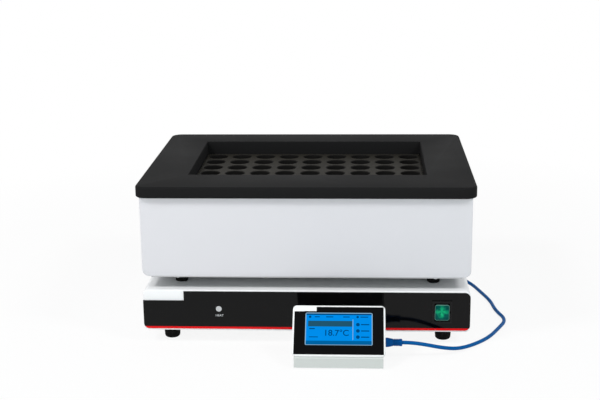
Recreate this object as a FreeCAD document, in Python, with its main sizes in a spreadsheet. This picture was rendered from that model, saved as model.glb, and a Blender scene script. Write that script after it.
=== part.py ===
import FreeCAD, Part

import math
import os

import Sketcher
from FreeCAD import Rotation, Vector

# A block digestion system: a heating module with a well block, a base unit that powers it,
# and a desk controller on a patch cable. Millimetres, +Z up, the front faces -Y.

SIZES = {
    # Well block
    "WellBore": 15.0,
    "WellDepth": 64.0,
    "WellPitchAcross": 39.0,
    "WellPitchDeep": 38.0,
    "WellColumns": 9,
    "WellRows": 6,
    "WellMargin": 4.0,
    "BlockHeight": 78.0,
    "BlockGap": 1.0,
    "BlockRecess": 21.0,
    # Top surround
    "SurroundWidth": 487.4,
    "SurroundDepth": 369.0,
    "SurroundHeight": 16.5,
    "SurroundWall": 3.0,
    "SurroundCorner": 17.0,
    "SurroundEdge": 2.4,
    "SkirtEdge": 2.2,
    "SeatInset": 7.0,
    "SeatMargin": 32.0,
    "SurroundOverhang": 4.5,
    "SurroundLead": 0.5,
    "FrontDeck": 77.5,
    "SkirtReach": 1.5,
    # Heating module housing
    "HeaterSetback": 5.0,
    "HeaterHeight": 118.0,
    "HeaterCorner": 10.0,
    "HeaterFrontWall": 3.0,
    "WrapFlange": 14.0,
    "BottomCoverWall": 3.0,
    "BottomCoverInset": 12.0,
    # Base unit housing
    "BodyWidth": 475.0,
    "BaseHeight": 62.0,
    "BaseCorner": 8.0,
    "BaseFrontWall": 2.5,
    "SheetWall": 1.5,
    "TrayLip": 12.0,
    # Feet between the units and under the base
    "FootHeight": 19.0,
    "FootTop": 12.2,
    "FootWaist": 11.0,
    "FootBottom": 8.8,
    "FootRound": 2.6,
    "FootSideInset": 37.5,
    "FootInset": 26.0,
    "SpacerHeight": 16.0,
    "SpacerRadius": 10.0,
    "SpacerSideInset": 51.5,
    "SpacerInset": 40.0,
    # Front fascia
    "FasciaWall": 1.5,
    "FasciaInset": 0.5,
    "FasciaFoot": 3.0,
    "FasciaHead": 1.8,
    "TrimHeight": 3.4,
    "NotchWidth": 60.2,
    "NotchHeight": 14.2,
    "IndicatorRadius": 4.2,
    "IndicatorInset": 111.0,
    "IndicatorRise": 33.8,
    "HolderWall": 1.5,
    "HolderReach": 9.0,
    # Power switch
    "SwitchInset": 41.0,
    "SwitchRise": 31.3,
    "RockerWidth": 21.6,
    "RockerSweep": 13.4,
    "RockerOverrun": 0.7,
    "RockerTilt": 10.0,
    "RockerClearance": 0.3,
    "RockerProud": 5.6,
    "RockerValley": 3.6,
    "RockerShoulder": 2.0,
    "RockerBack": 4.0,
    "RockerHeel": 6.0,
    "RockerCorner": 4.0,
    "PivotDepth": 2.0,
    "BezelWidth": 28.6,
    "BezelHeight": 34.2,
    "BezelWall": 2.0,
    "SwitchDepth": 26.0,
    "SwitchWall": 1.6,
    "TrunnionRadius": 1.8,
    "TrunnionReach": 0.8,
    "BearingClearance": 0.1,
    "TabWidth": 6.4,
    "TabWall": 0.8,
    "TabLength": 9.0,
    "TabAcross": 12.0,
    "TabPitch": 7.0,
    "LampWidth": 6.0,
    "LampHeight": 4.0,
    "LampLength": 7.0,
    # Heater stack under the block
    "MatThickness": 2.0,
    "ClampThickness": 4.0,
    "StackInset": 24.0,
    "InsulationGap": 2.0,
    "PostAcrossFlats": 13.0,
    "PostInset": 11.0,
    "CutoutWidth": 20.0,
    "CutoutDepth": 12.0,
    "CutoutHeight": 9.0,
    "CutoutRoom": 2.0,
    "CutoutTabLength": 3.0,
    "CutoutTabWidth": 6.0,
    "CutoutTabPitch": 12.0,
    "ProbeRadius": 2.5,
    "ProbeRise": 12.0,
    "ProbeEndGap": 15.0,
    "ProbeCollar": 8.0,
    "ProbeCollarLength": 3.0,
    "ProbeRoom": 2.0,
    "DuctWidth": 22.0,
    "DuctWall": 1.5,
    "DuctSideInset": 117.5,
    "DuctInset": 46.0,
    # Electronics in the base
    "BoardThickness": 1.6,
    "BoardWidth": 150.0,
    "BoardDepth": 110.0,
    "BoardSideInset": 27.5,
    "BoardSetback": 60.0,
    "StandoffHeight": 8.0,
    "StandoffAcross": 6.0,
    "StandoffInset": 6.0,
    "SupplyWidth": 48.0,
    "SupplyDepth": 46.0,
    "SupplyHeight": 24.0,
    "SupplyInset": 12.0,
    "SupplySetback": 14.0,
    "ChipWidth": 20.0,
    "ChipHeight": 3.0,
    "ChipInset": 84.0,
    "ChipSetback": 40.0,
    "HeaderWidth": 100.0,
    "HeaderDepth": 10.0,
    "HeaderHeight": 11.0,
    "HeaderInset": 20.0,
    "HeaderSetback": 4.0,
    "SinkSideInset": 87.5,
    "SinkSetback": 90.0,
    "SinkWidth": 90.0,
    "SinkDepth": 70.0,
    "SinkFin": 2.0,
    "SinkFins": 9,
    "SinkHeight": 22.0,
    "SinkPlate": 4.0,
    "RelayWidth": 44.0,
    "RelayDepth": 48.0,
    "RelayHeight": 22.0,
    "TerminalGap": 40.0,
    "TerminalWidth": 80.0,
    "TerminalDepth": 22.0,
    "TerminalHeight": 18.0,
    "TerminalCount": 6,
    "TerminalPitch": 12.0,
    "TerminalGroove": 8.0,
    "TerminalStep": 5.0,
    "TerminalSill": 8.0,
    "InletWidth": 27.0,
    "InletHeight": 24.0,
    "InletDepth": 26.0,
    "InletWall": 2.0,
    "InletRoom": 16.0,
    "InletEar": 9.0,
    "InletInset": 77.5,
    "BladeWall": 2.0,
    "BladeHeight": 8.0,
    "BladeLength": 14.0,
    "BladePitch": 7.0,
    "BladeStagger": 2.0,
    "SocketAcross": 90.0,
    "SocketRise": 31.0,
    "PanelProud": 2.0,
    "VentWidth": 3.0,
    "VentHeight": 22.0,
    "VentPitch": 8.0,
    "VentCount": 9,
    "VentAcross": 30.0,
    # Desk controller
    "ControllerReach": 94.5,
    "ControllerAcross": 49.2,
    "CaseWidth": 124.0,
    "CaseWall": 2.0,
    "CaseDepth": 68.0,
    "CaseTopDepth": 60.0,
    "PadHeight": 1.5,
    "PadWidth": 12.0,
    "PadDepth": 8.0,
    "PadInset": 8.0,
    "PadSideInset": 10.0,
    "FaceOverhang": 3.0,
    "FaceLength": 77.0,
    "FaceTilt": 45.0,
    "FaceFoot": 19.0,
    "FaceCorner": 6.0,
    "FaceRim": 2.4,
    "FaceGlossWall": 1.0,
    "WindowWidth": 94.0,
    "WindowLength": 49.5,
    "WindowRise": 41.3,
    "FaceNotchWidth": 31.0,
    "FaceNotchLength": 7.0,
    "TouchWall": 1.5,
    "TouchMargin": 2.0,
    "ScreenWidth": 106.0,
    "ScreenLength": 59.0,
    "ScreenWall": 4.0,
    "SpacerLength": 5.0,
    "FaceBoardLength": 54.0,
    # Patch cable with its two plugs
    "JackWidth": 16.0,
    "JackHeight": 14.0,
    "JackDepth": 17.0,
    "JackSetback": 45.5,
    "JackRise": 22.0,
    "PlugWidth": 11.7,
    "PlugHeight": 8.0,
    "PlugInside": 11.0,
    "PlugOutside": 3.0,
    "PlugClearance": 0.3,
    "HoodLength": 7.0,
    "HoodHeight": 11.0,
    "HoodTaper": 4.0,
    "SleeveLength": 13.0,
    "SleeveSkin": 0.8,
    "CableRadius": 2.7,
}

doc = FreeCAD.newDocument("BlockDigester")
sheet = doc.addObject("Spreadsheet::Sheet", "Sizes")
for row, (alias, number) in enumerate(SIZES.items(), start=1):
    sheet.set(f"A{row}", alias)
    sheet.set(f"B{row}", str(number))
    sheet.setAlias(f"B{row}", alias)
doc.recompute()


class Size(float):
    """A number together with the spreadsheet expression that gives it."""

    def __new__(cls, number, text):
        made = float.__new__(cls, number)
        made.text = text
        return made

    def __add__(self, other):
        return Size(float(self) + float(other), f"({text_of(self)} + {text_of(other)})")

    def __radd__(self, other):
        return Size(float(other) + float(self), f"({text_of(other)} + {text_of(self)})")

    def __sub__(self, other):
        return Size(float(self) - float(other), f"({text_of(self)} - {text_of(other)})")

    def __rsub__(self, other):
        return Size(float(other) - float(self), f"({text_of(other)} - {text_of(self)})")

    def __mul__(self, other):
        return Size(float(self) * float(other), f"({text_of(self)} * {text_of(other)})")

    __rmul__ = __mul__

    def __truediv__(self, other):
        return Size(float(self) / float(other), f"({text_of(self)} / {text_of(other)})")

    def __neg__(self):
        return Size(-float(self), f"(-1 * {text_of(self)})")


def text_of(number):
    return getattr(number, "text", None) or repr(float(number))


class Sheet:
    """Gives a driving dimension by its alias, such as dim.BodyWidth."""

    def __getattr__(self, alias):
        return Size(float(SIZES[alias]), f"Sizes.{alias}")


dim = Sheet()
nodes = []


def bind(thing, **sizes):
    for prop, size in sizes.items():
        setattr(thing, prop, float(size))
        thing.setExpression(prop, text_of(size))


def place(thing, x=0, y=0, z=0, turn=None):
    thing.Placement = FreeCAD.Placement(Vector(float(x), float(y), float(z)), turn or Rotation())
    for axis, size in zip("xyz", (x, y, z)):
        if hasattr(size, "text"):
            thing.setExpression(f"Placement.Base.{axis}", size.text)


def keep(thing, label):
    thing.Label = label
    nodes.append(thing)
    return thing


# Part primitives and booleans, bound to the sheet


def box(xs, ys, zs, name="Box"):
    made = doc.addObject("Part::Box", name)
    (x0, x1), (y0, y1), (z0, z1) = xs, ys, zs
    bind(made, Length=x1 - x0, Width=y1 - y0, Height=z1 - z0)
    place(made, x0, y0, z0)
    return made


AXIS_TURNS = {
    "Z": Rotation(),
    "X": Rotation(Vector(0, 1, 0), 90),
    "Y": Rotation(Vector(1, 0, 0), -90),
}


def cylinder(radius, length, at, axis="Z", name="Cylinder"):
    made = doc.addObject("Part::Cylinder", name)
    bind(made, Radius=radius, Height=length)
    place(made, *at, AXIS_TURNS[axis])
    return made


def prism(sides, radius, length, at, name="Prism"):
    made = doc.addObject("Part::Prism", name)
    made.Polygon = sides
    bind(made, Circumradius=radius, Height=length)
    place(made, *at)
    return made


def hexagon(flats, length, at):
    return prism(6, flats / math.sqrt(3), length, at, "Hexagon")


def turned(sides, rings, at, name="Turned"):
    """A faceted round piece through rings, each given as its radius and its height."""
    x, y, z = at
    made = doc.addObject("Part::Loft", name)
    sections = []
    for radius, rise in rings:
        ring = doc.addObject("Part::RegularPolygon", "Ring")
        ring.Polygon = sides
        bind(ring, Circumradius=radius)
        place(ring, x, y, z + rise)
        sections.append(ring)
    made.Sections = sections
    made.Solid = True
    made.Ruled = True
    return made


def cut(base, tools, name="Cut"):
    made = doc.addObject("Part::Cut", name)
    made.Base = base
    made.Tool = tools[0] if len(tools) == 1 else fuse(tools)
    return made


def fuse(shapes, name="Fusion"):
    made = doc.addObject("Part::MultiFuse", name)
    made.Shapes = shapes
    return made


def common(base, tool, name="Common"):
    made = doc.addObject("Part::Common", name)
    made.Base = base
    made.Tool = tool
    return made


def group(shapes, name="Group"):
    made = doc.addObject("Part::Compound", name)
    made.Links = shapes
    return made


def is_along(edge, axis):
    direction = edge.Vertexes[-1].Point - edge.Vertexes[0].Point
    return direction.Length > 0 and abs(abs(direction.normalize().dot(axis)) - 1) < 1e-6


def rounded(base, radius, choose, name="Rounded"):
    doc.recompute()
    made = doc.addObject("Part::Fillet", name)
    made.Base = base
    picked = [k for k, edge in enumerate(base.Shape.Edges, start=1) if choose(edge)]
    made.Edges = [(k, float(radius), float(radius)) for k in picked]
    return made


# PartDesign bodies with sketches whose corners are bound to the sheet


def new_body(name):
    return doc.addObject("PartDesign::Body", name)


def origin_part(body, role):
    return next(part for part in body.Origin.OriginFeatures if part.Role == role)


def outline(body, plane, loops, name, offset=None):
    """A sketch of closed loops of straight lines on one of the body's planes."""
    sketch = body.newObject("Sketcher::SketchObject", name)
    sketch.AttachmentSupport = [(origin_part(body, plane), "")]
    sketch.MapMode = "FlatFace"
    if offset is not None:
        sketch.setExpression("AttachmentOffset.Base.z", text_of(offset))
    first = 0
    for points in loops:
        count = len(points)
        corners = [Vector(float(a), float(b), 0) for a, b in points]
        for k in range(count):
            sketch.addGeometry(Part.LineSegment(corners[k], corners[(k + 1) % count]), False)
        for k in range(count):
            after = first + (k + 1) % count
            sketch.addConstraint(Sketcher.Constraint("Coincident", first + k, 2, after, 1))
        for k, (a, b) in enumerate(points):
            for kind, size in (("DistanceX", a), ("DistanceY", b)):
                rule = Sketcher.Constraint(kind, -1, 1, first + k, 1, float(size))
                number = sketch.addConstraint(rule)
                sketch.setExpression(f"Constraints[{number}]", text_of(size))
        first += count
    return sketch


def rectangle(a0, a1, b0, b1):
    return [(a0, b0), (a1, b0), (a1, b1), (a0, b1)]


def pad(body, sketch, length, reverse=False):
    made = body.newObject("PartDesign::Pad", "Pad")
    made.Profile = sketch
    made.Reversed = reverse
    bind(made, Length=length)
    doc.recompute()
    return made


def pocket(body, sketch, length, reverse=False):
    before = body.Shape.Volume
    made = body.newObject("PartDesign::Pocket", "Pocket")
    made.Profile = sketch
    made.Reversed = reverse
    bind(made, Length=length)
    doc.recompute()
    if body.Shape.Volume >= before:
        raise RuntimeError(f"{body.Name}: a pocket cuts nothing")
    return made


def dress_edges(body, kind, choose):
    """Fillets or chamfers the edges of the body's last feature that choose accepts."""
    tip = body.Tip
    picked = [f"Edge{k}" for k, edge in enumerate(tip.Shape.Edges, start=1) if choose(edge)]
    made = body.newObject(f"PartDesign::{kind}", kind)
    made.Base = (tip, picked)
    return made


def round_edges(body, radius, choose):
    bind(dress_edges(body, "Fillet", choose), Radius=radius)
    doc.recompute()


def bevel_edges(body, size, choose):
    bind(dress_edges(body, "Chamfer", choose), Size=size)
    doc.recompute()


def near(edge, axis, spots):
    """Does an edge along axis pass through one of the spots, given by its other two coordinates?"""
    if not is_along(edge, axis):
        return False
    point = edge.Vertexes[0].Point
    rest = [value for value, along in zip(point, axis) if not along]
    return any(math.dist(rest, [float(value) for value in spot]) < 0.01 for spot in spots)


ALONG_X, ALONG_Y, ALONG_Z = Vector(1, 0, 0), Vector(0, 1, 0), Vector(0, 0, 1)

# Levels and planes that several pieces share

base_front = -(dim.SurroundDepth - dim.SurroundLead - dim.ControllerReach) / 2
surround_front = base_front - dim.SurroundLead
surround_rear = surround_front + dim.SurroundDepth
heater_front = base_front + dim.HeaterSetback
heater_rear = surround_rear - dim.SurroundOverhang
base_rear = heater_rear
half_body = dim.BodyWidth / 2
half_surround = dim.SurroundWidth / 2

base_bottom = dim.FootHeight
base_top = base_bottom + dim.BaseHeight
cover_bottom = base_top + dim.SpacerHeight
heater_bottom = cover_bottom + dim.BottomCoverWall
heater_top = heater_bottom + dim.HeaterHeight
surround_top = heater_top + dim.SurroundHeight
wrap_floor = heater_bottom + dim.SheetWall

block_width = (dim.WellColumns - 1) * dim.WellPitchAcross + 2 * dim.WellBore + 2 * dim.WellMargin
block_depth = (dim.WellRows - 1) * dim.WellPitchDeep + 2 * dim.WellBore + 2 * dim.WellMargin
opening_front = surround_front + dim.FrontDeck
opening_rear = opening_front + block_depth + 2 * dim.BlockGap
block_middle = (opening_front + opening_rear) / 2
block_top = surround_top - dim.BlockRecess
block_bottom = block_top - dim.BlockHeight
half_opening = block_width / 2 + dim.BlockGap
mat_bottom = block_bottom - dim.MatThickness
clamp_bottom = mat_bottom - dim.ClampThickness
probe_level = block_bottom + dim.ProbeRise

inner_side = half_body - dim.SheetWall
inner_front = base_front + dim.BaseFrontWall
inner_rear = base_rear - dim.SheetWall
tray_floor = base_bottom + dim.SheetWall
seam = base_bottom + dim.TrayLip


def mirrored(x):
    return -x, x


# Top surround: a moulded cover with an outer skirt, and an inner skirt round the recess


def is_level(edge, height):
    bounds = edge.BoundBox
    return abs(bounds.ZMin - height) < 0.01 and abs(bounds.ZMax - height) < 0.01


def is_outer(edge):
    """Does the edge reach the surround's own outline?"""
    bounds = edge.BoundBox
    across = max(-bounds.XMin, bounds.XMax) > half_surround - 0.01
    return across or bounds.YMin < surround_front + 0.01 or bounds.YMax > surround_rear - 0.01


def make_top_surround():
    body = new_body("TopSurround")
    wall = dim.SurroundWall
    outer = rectangle(-half_surround, half_surround, surround_front, surround_rear)
    opening = rectangle(-half_opening, half_opening, opening_front, opening_rear)
    skirt = rectangle(
        -half_opening - wall, half_opening + wall, opening_front - wall, opening_rear + wall
    )
    deck = outline(body, "XY_Plane", [outer, opening], "Deck", heater_top)
    pad(body, deck, dim.SurroundHeight)
    inner = outline(body, "XY_Plane", [skirt, opening], "InnerSkirt", surround_top - wall)
    pad(body, inner, surround_top - wall - (block_top - dim.SkirtReach), reverse=True)
    hollow = rectangle(
        -half_surround + wall, half_surround - wall, surround_front + wall, surround_rear - wall
    )
    below = outline(body, "XY_Plane", [hollow, skirt], "Underside", heater_top)
    pocket(body, below, dim.SurroundHeight - wall, reverse=True)
    seats = [
        rectangle(x - wall / 2, x + wall / 2, heater_front + dim.SeatMargin, heater_rear - dim.SeatMargin)
        for x in mirrored(half_body - dim.SeatInset)
    ]
    ribs = outline(body, "XY_Plane", seats, "SeatRibs", heater_top)
    pad(body, ribs, dim.SurroundHeight - wall)
    for inset, radius in ((wall, dim.SurroundCorner - wall), (0, dim.SurroundCorner)):
        corners = [
            (x, y)
            for x in mirrored(half_surround - inset)
            for y in (surround_front + inset, surround_rear - inset)
        ]
        round_edges(body, radius, lambda edge: near(edge, ALONG_Z, corners))
    bevel_edges(body, dim.SurroundEdge, lambda edge: is_level(edge, surround_top))
    bevel_edges(body, dim.SkirtEdge, lambda edge: is_level(edge, heater_top) and is_outer(edge))
    return keep(body, "top_surround")


# Well block: one slab with a grid of blind wells


def make_graphite_block():
    body = new_body("GraphiteBlock")
    front = block_middle - block_depth / 2
    rear = block_middle + block_depth / 2
    slab = rectangle(-block_width / 2, block_width / 2, front, rear)
    pad(body, outline(body, "XY_Plane", [slab], "Slab", block_bottom), dim.BlockHeight)
    well = body.newObject("Sketcher::SketchObject", "Well")
    well.AttachmentSupport = [(origin_part(body, "XY_Plane"), "")]
    well.MapMode = "FlatFace"
    well.setExpression("AttachmentOffset.Base.z", block_top.text)
    x = -block_width / 2 + dim.WellMargin + dim.WellBore
    y = front + dim.WellMargin + dim.WellBore
    well.addGeometry(Part.Circle(Vector(x, y, 0), ALONG_Z, float(dim.WellBore)), False)
    for rule, size in (
        (Sketcher.Constraint("Radius", 0, float(dim.WellBore)), dim.WellBore),
        (Sketcher.Constraint("DistanceX", -1, 1, 0, 3, float(x)), x),
        (Sketcher.Constraint("DistanceY", -1, 1, 0, 3, float(y)), y),
    ):
        number = well.addConstraint(rule)
        well.setExpression(f"Constraints[{number}]", text_of(size))
    bore = pocket(body, well, dim.WellDepth)
    grid = body.newObject("PartDesign::MultiTransform", "WellGrid")
    grid.Originals = [bore]
    steps = []
    for role, count, pitch in (
        ("X_Axis", dim.WellColumns, dim.WellPitchAcross),
        ("Y_Axis", dim.WellRows, dim.WellPitchDeep),
    ):
        step = body.newObject("PartDesign::LinearPattern", "Row")
        step.Direction = (origin_part(body, role), [""])
        step.Occurrences = int(count)
        step.setExpression("Occurrences", count.text)
        bind(step, Length=pitch * (count - 1))
        steps.append(step)
    grid.Transformations = steps
    body.Tip = grid
    doc.recompute()
    return keep(body, "graphite_block")


# Heater stack: mat, clamp plate, insulation and the posts that carry the block


def make_heater_stack():
    half = block_width / 2 - dim.StackInset
    front = block_middle - block_depth / 2 + dim.StackInset
    rear = block_middle + block_depth / 2 - dim.StackInset
    keep(box((-half, half), (front, rear), (mat_bottom, block_bottom)), "heater_mat")
    plate = box((-half, half), (front, rear), (clamp_bottom, mat_bottom))
    keep(plate, "clamp_plate")
    board = box((-half, half), (front, rear), (wrap_floor, clamp_bottom))
    half_can = (dim.CutoutWidth / 2, dim.CutoutDepth / 2)
    half_room = (half_can[0] + dim.CutoutRoom, half_can[1] + dim.CutoutRoom)
    can_bottom = clamp_bottom - dim.CutoutHeight
    room_bottom = can_bottom - dim.CutoutTabLength
    room = box(
        (-half_room[0], half_room[0]),
        (block_middle - half_room[1], block_middle + half_room[1]),
        (room_bottom, clamp_bottom),
    )
    keep(cut(board, [room]), "base_insulation")
    can = box(
        (-half_can[0], half_can[0]),
        (block_middle - half_can[1], block_middle + half_can[1]),
        (can_bottom, clamp_bottom),
    )
    half_tab = (dim.TabWall / 2, dim.CutoutTabWidth / 2)
    tabs = [
        box(
            (x - half_tab[0], x + half_tab[0]),
            (block_middle - half_tab[1], block_middle + half_tab[1]),
            (room_bottom, can_bottom),
        )
        for x in mirrored(dim.CutoutTabPitch / 2)
    ]
    keep(fuse([can, *tabs]), "thermal_cutout")
    gap = dim.InsulationGap
    outer = box(
        (-half_body + dim.HeaterCorner, half_body - dim.HeaterCorner),
        (heater_front + dim.HeaterFrontWall + gap, heater_rear - dim.SheetWall - gap),
        (wrap_floor, heater_top - dim.WrapFlange),
    )
    hole = box(
        (-half_opening, half_opening), (opening_front, opening_rear), (wrap_floor, heater_top)
    )
    slot = dim.ProbeCollar / 2 + dim.ProbeRoom
    probe_slot = box(
        (block_width / 2, inner_side),
        (block_middle - slot, block_middle + slot),
        (probe_level - slot, probe_level + slot),
    )
    keep(cut(outer, [hole, probe_slot]), "side_insulation")
    across = block_width / 2 - dim.PostInset
    deep = block_depth / 2 - dim.PostInset
    posts = [
        hexagon(dim.PostAcrossFlats, block_bottom - wrap_floor, (x, block_middle + y, wrap_floor))
        for x in mirrored(across)
        for y in mirrored(deep)
    ]
    keep(group(posts), "block_posts")


# Temperature probe beside the block, and the wiring duct down to the base


def make_probe():
    side = block_width / 2
    stem = hexagon(2 * dim.ProbeRadius, inner_side - dim.ProbeEndGap - side, (0, 0, 0))
    place(stem, side, block_middle, probe_level, AXIS_TURNS["X"])
    half = dim.ProbeCollar / 2
    collar = box(
        (side, side + dim.ProbeCollarLength),
        (block_middle - half, block_middle + half),
        (probe_level - half, probe_level + half),
    )
    keep(fuse([collar, stem]), "temperature_probe")


def duct(low, high, inset=0.0):
    """The rectangular wiring duct between the units, or its bore where an inset is given."""
    half = dim.DuctWidth / 2 - inset
    across, deep = half_body - dim.DuctSideInset, heater_rear - dim.DuctInset
    return box((across - half, across + half), (deep - half, deep + half), (low, high))


def make_duct():
    ends = (base_top - dim.SheetWall, wrap_floor)
    keep(cut(duct(*ends), [duct(*ends, dim.DuctWall)]), "wiring_duct")


# Heating module housing: a bent wrap for sides and floor, front and rear panels, bottom cover


def make_heater_wrap():
    wall = dim.SheetWall
    side, low, high = half_body, heater_bottom, heater_top
    flange = dim.WrapFlange
    profile = [
        (-side + flange, high),
        (-side, high),
        (-side, low),
        (side, low),
        (side, high),
        (side - flange, high),
        (side - flange, high - wall),
        (side - wall, high - wall),
        (side - wall, low + wall),
        (-side + wall, low + wall),
        (-side + wall, high - wall),
        (-side + flange, high - wall),
    ]
    body = new_body("HeaterWrap")
    start = heater_front + dim.HeaterFrontWall
    sketch = outline(body, "XZ_Plane", [profile], "Profile", -start)
    pad(body, sketch, heater_rear - wall - start, reverse=True)
    bends = [(x, low) for x in mirrored(side)]
    round_edges(body, dim.HeaterCorner, lambda edge: near(edge, ALONG_Y, bends))
    inner = [(x, low + wall) for x in mirrored(side - wall)]
    round_edges(body, dim.HeaterCorner - wall, lambda edge: near(edge, ALONG_Y, inner))
    keep(cut(body, [duct(low, low + wall)]), "heater_wrap")


def panel(name, low, high, corner, front, wall, all_corners):
    body = new_body(name)
    sheet_outline = rectangle(-half_body, half_body, low, high)
    sketch = outline(body, "XZ_Plane", [sheet_outline], "Outline", -front)
    pad(body, sketch, wall, reverse=True)
    levels = (low, high) if all_corners else (low,)
    spots = [(x, z) for x in mirrored(half_body) for z in levels]
    round_edges(body, corner, lambda edge: near(edge, ALONG_Y, spots))
    return body


def slots(middle, low, front, rear):
    """Upright ventilation slots in a row about a middle, cut from front to rear."""
    count = int(dim.VentCount)
    first = middle - (dim.VentCount - 1) * dim.VentPitch / 2 - dim.VentWidth / 2
    starts = [first + k * dim.VentPitch for k in range(count)]
    return [box((x, x + dim.VentWidth), (front, rear), (low, low + dim.VentHeight)) for x in starts]


def make_heater_housing():
    make_heater_wrap()
    for name, label, front, wall in (
        ("HeaterFront", "heater_front_panel", heater_front, dim.HeaterFrontWall),
        ("HeaterRear", "heater_rear_panel", heater_rear - dim.SheetWall, dim.SheetWall),
    ):
        made = panel(name, heater_bottom, heater_top, dim.HeaterCorner, front, wall, False)
        keep(made, label)
    inset = dim.BottomCoverInset
    cover = box(
        (-half_body + inset, half_body - inset),
        (heater_front + inset / 2, heater_rear - inset),
        (cover_bottom, heater_bottom),
    )
    keep(cut(cover, [duct(cover_bottom, heater_bottom)]), "heater_bottom_cover")


# Rubber feet, four under each housing


def feet(spread, front, rear, shape):
    return group([shape(x, y) for x in mirrored(spread) for y in (front, rear)])


def make_feet():
    front = heater_front + dim.SpacerInset
    rear = heater_rear - dim.SpacerInset
    spacers = feet(
        half_body - dim.SpacerSideInset,
        front,
        rear,
        lambda x, y: prism(12, dim.SpacerRadius, dim.SpacerHeight, (x, y, base_top)),
    )
    keep(spacers, "spacer_feet")
    rings = [(dim.FootBottom, 0), (dim.FootWaist, dim.FootRound), (dim.FootTop, dim.FootHeight)]
    under = feet(
        half_body - dim.FootSideInset,
        base_front + dim.FootInset,
        base_rear - dim.FootInset,
        lambda x, y: turned(12, rings, (x, y, 0)),
    )
    keep(under, "base_feet")


# Base housing: a bent cover for top and sides, a tray with turned-up sides, front and rear plates


def make_base_cover():
    wall = dim.SheetWall
    side = half_body
    profile = [
        (-side, seam),
        (-side + wall, seam),
        (-side + wall, base_top - wall),
        (side - wall, base_top - wall),
        (side - wall, seam),
        (side, seam),
        (side, base_top),
        (-side, base_top),
    ]
    body = new_body("BaseCover")
    sketch = outline(body, "XZ_Plane", [profile], "Profile", -inner_front)
    pad(body, sketch, inner_rear - inner_front, reverse=True)
    bends = [(x, base_top) for x in mirrored(side)]
    round_edges(body, dim.BaseCorner, lambda edge: near(edge, ALONG_Y, bends))
    inner = [(x, base_top - wall) for x in mirrored(side - wall)]
    round_edges(body, dim.BaseCorner - wall, lambda edge: near(edge, ALONG_Y, inner))
    keep(cut(body, [duct(base_top - wall, base_top)]), "base_cover")


def make_base_tray():
    wall = dim.SheetWall
    side, low = half_body, base_bottom
    profile = [
        (-side, low),
        (side, low),
        (side, seam),
        (side - wall, seam),
        (side - wall, low + wall),
        (-side + wall, low + wall),
        (-side + wall, seam),
        (-side, seam),
    ]
    body = new_body("BaseTray")
    sketch = outline(body, "XZ_Plane", [profile], "Profile", -inner_front)
    pad(body, sketch, inner_rear - inner_front, reverse=True)
    bends = [(x, low) for x in mirrored(side)]
    round_edges(body, dim.BaseCorner, lambda edge: near(edge, ALONG_Y, bends))
    inner = [(x, low + wall) for x in mirrored(side - wall)]
    round_edges(body, dim.BaseCorner - wall, lambda edge: near(edge, ALONG_Y, inner))
    keep(body, "base_tray")


# Front plate, gloss fascia with its bare corner, red trim, indicator and power switch

switch_across = half_body - dim.SwitchInset
switch_level = base_bottom + dim.SwitchRise
indicator_across = -half_body + dim.IndicatorInset
indicator_level = base_bottom + dim.IndicatorRise
fascia_front = base_front - dim.FasciaWall
fascia_bottom = base_bottom + dim.FasciaFoot
fascia_top = base_top - dim.FasciaHead
half_fascia = half_body - dim.FasciaInset
rocker_hole = (dim.RockerSweep + dim.RockerClearance, dim.RockerWidth / 2 + dim.RockerClearance)
switch_half_width = rocker_hole[1] + dim.SwitchWall
switch_half_height = rocker_hole[0] + dim.SwitchWall


def switch_cut(front, rear):
    """The panel hole that the switch body snaps into."""
    return box(
        (switch_across - switch_half_width, switch_across + switch_half_width),
        (front, rear),
        (switch_level - switch_half_height, switch_level + switch_half_height),
    )


def indicator_cut(front, rear):
    """The round of the indicator lens, which is also the hole that it fills."""
    at = (indicator_across, front, indicator_level)
    return cylinder(dim.IndicatorRadius, rear - front, at, "Y")


def holder_box(front, rear):
    half = dim.IndicatorRadius + dim.HolderWall
    return box(
        (indicator_across - half, indicator_across + half),
        (front, rear),
        (indicator_level - half, indicator_level + half),
    )


def fascia_blank():
    made = box((-half_fascia, half_fascia), (fascia_front, base_front), (fascia_bottom, fascia_top))
    spots = [(x, z) for x in mirrored(half_fascia) for z in (fascia_bottom, fascia_top)]
    return rounded(made, dim.BaseCorner, lambda edge: near(edge, ALONG_Y, spots))


def make_front():
    plate = panel(
        "BaseFront", base_bottom, base_top, dim.BaseCorner, base_front, dim.BaseFrontWall, True
    )
    holes = [switch_cut(base_front, inner_front), holder_box(base_front, inner_front)]
    keep(cut(plate, holes), "base_front_plate")
    trim_top = fascia_bottom + dim.TrimHeight
    ends = (-half_body, half_body)
    through = (fascia_front - 1, base_front + 1)
    notch = box(
        (-half_body, -half_body + dim.NotchWidth),
        through,
        (fascia_top - dim.NotchHeight, base_top),
    )
    below = box(ends, through, (base_bottom, trim_top))
    holes = [switch_cut(*through), indicator_cut(*through), notch, below]
    keep(cut(fascia_blank(), holes), "front_fascia")
    strip = box(ends, (fascia_front, base_front), (base_bottom, trim_top))
    keep(common(fascia_blank(), strip), "red_trim")


def make_indicator():
    keep(indicator_cut(fascia_front, base_front), "heat_indicator")
    keep(holder_box(base_front, inner_front + dim.HolderReach), "indicator_holder")


# Rocker switch: a rocker that swings about its trunnions inside an open box with a bezel


rocker_pivot = fascia_front + dim.PivotDepth


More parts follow.
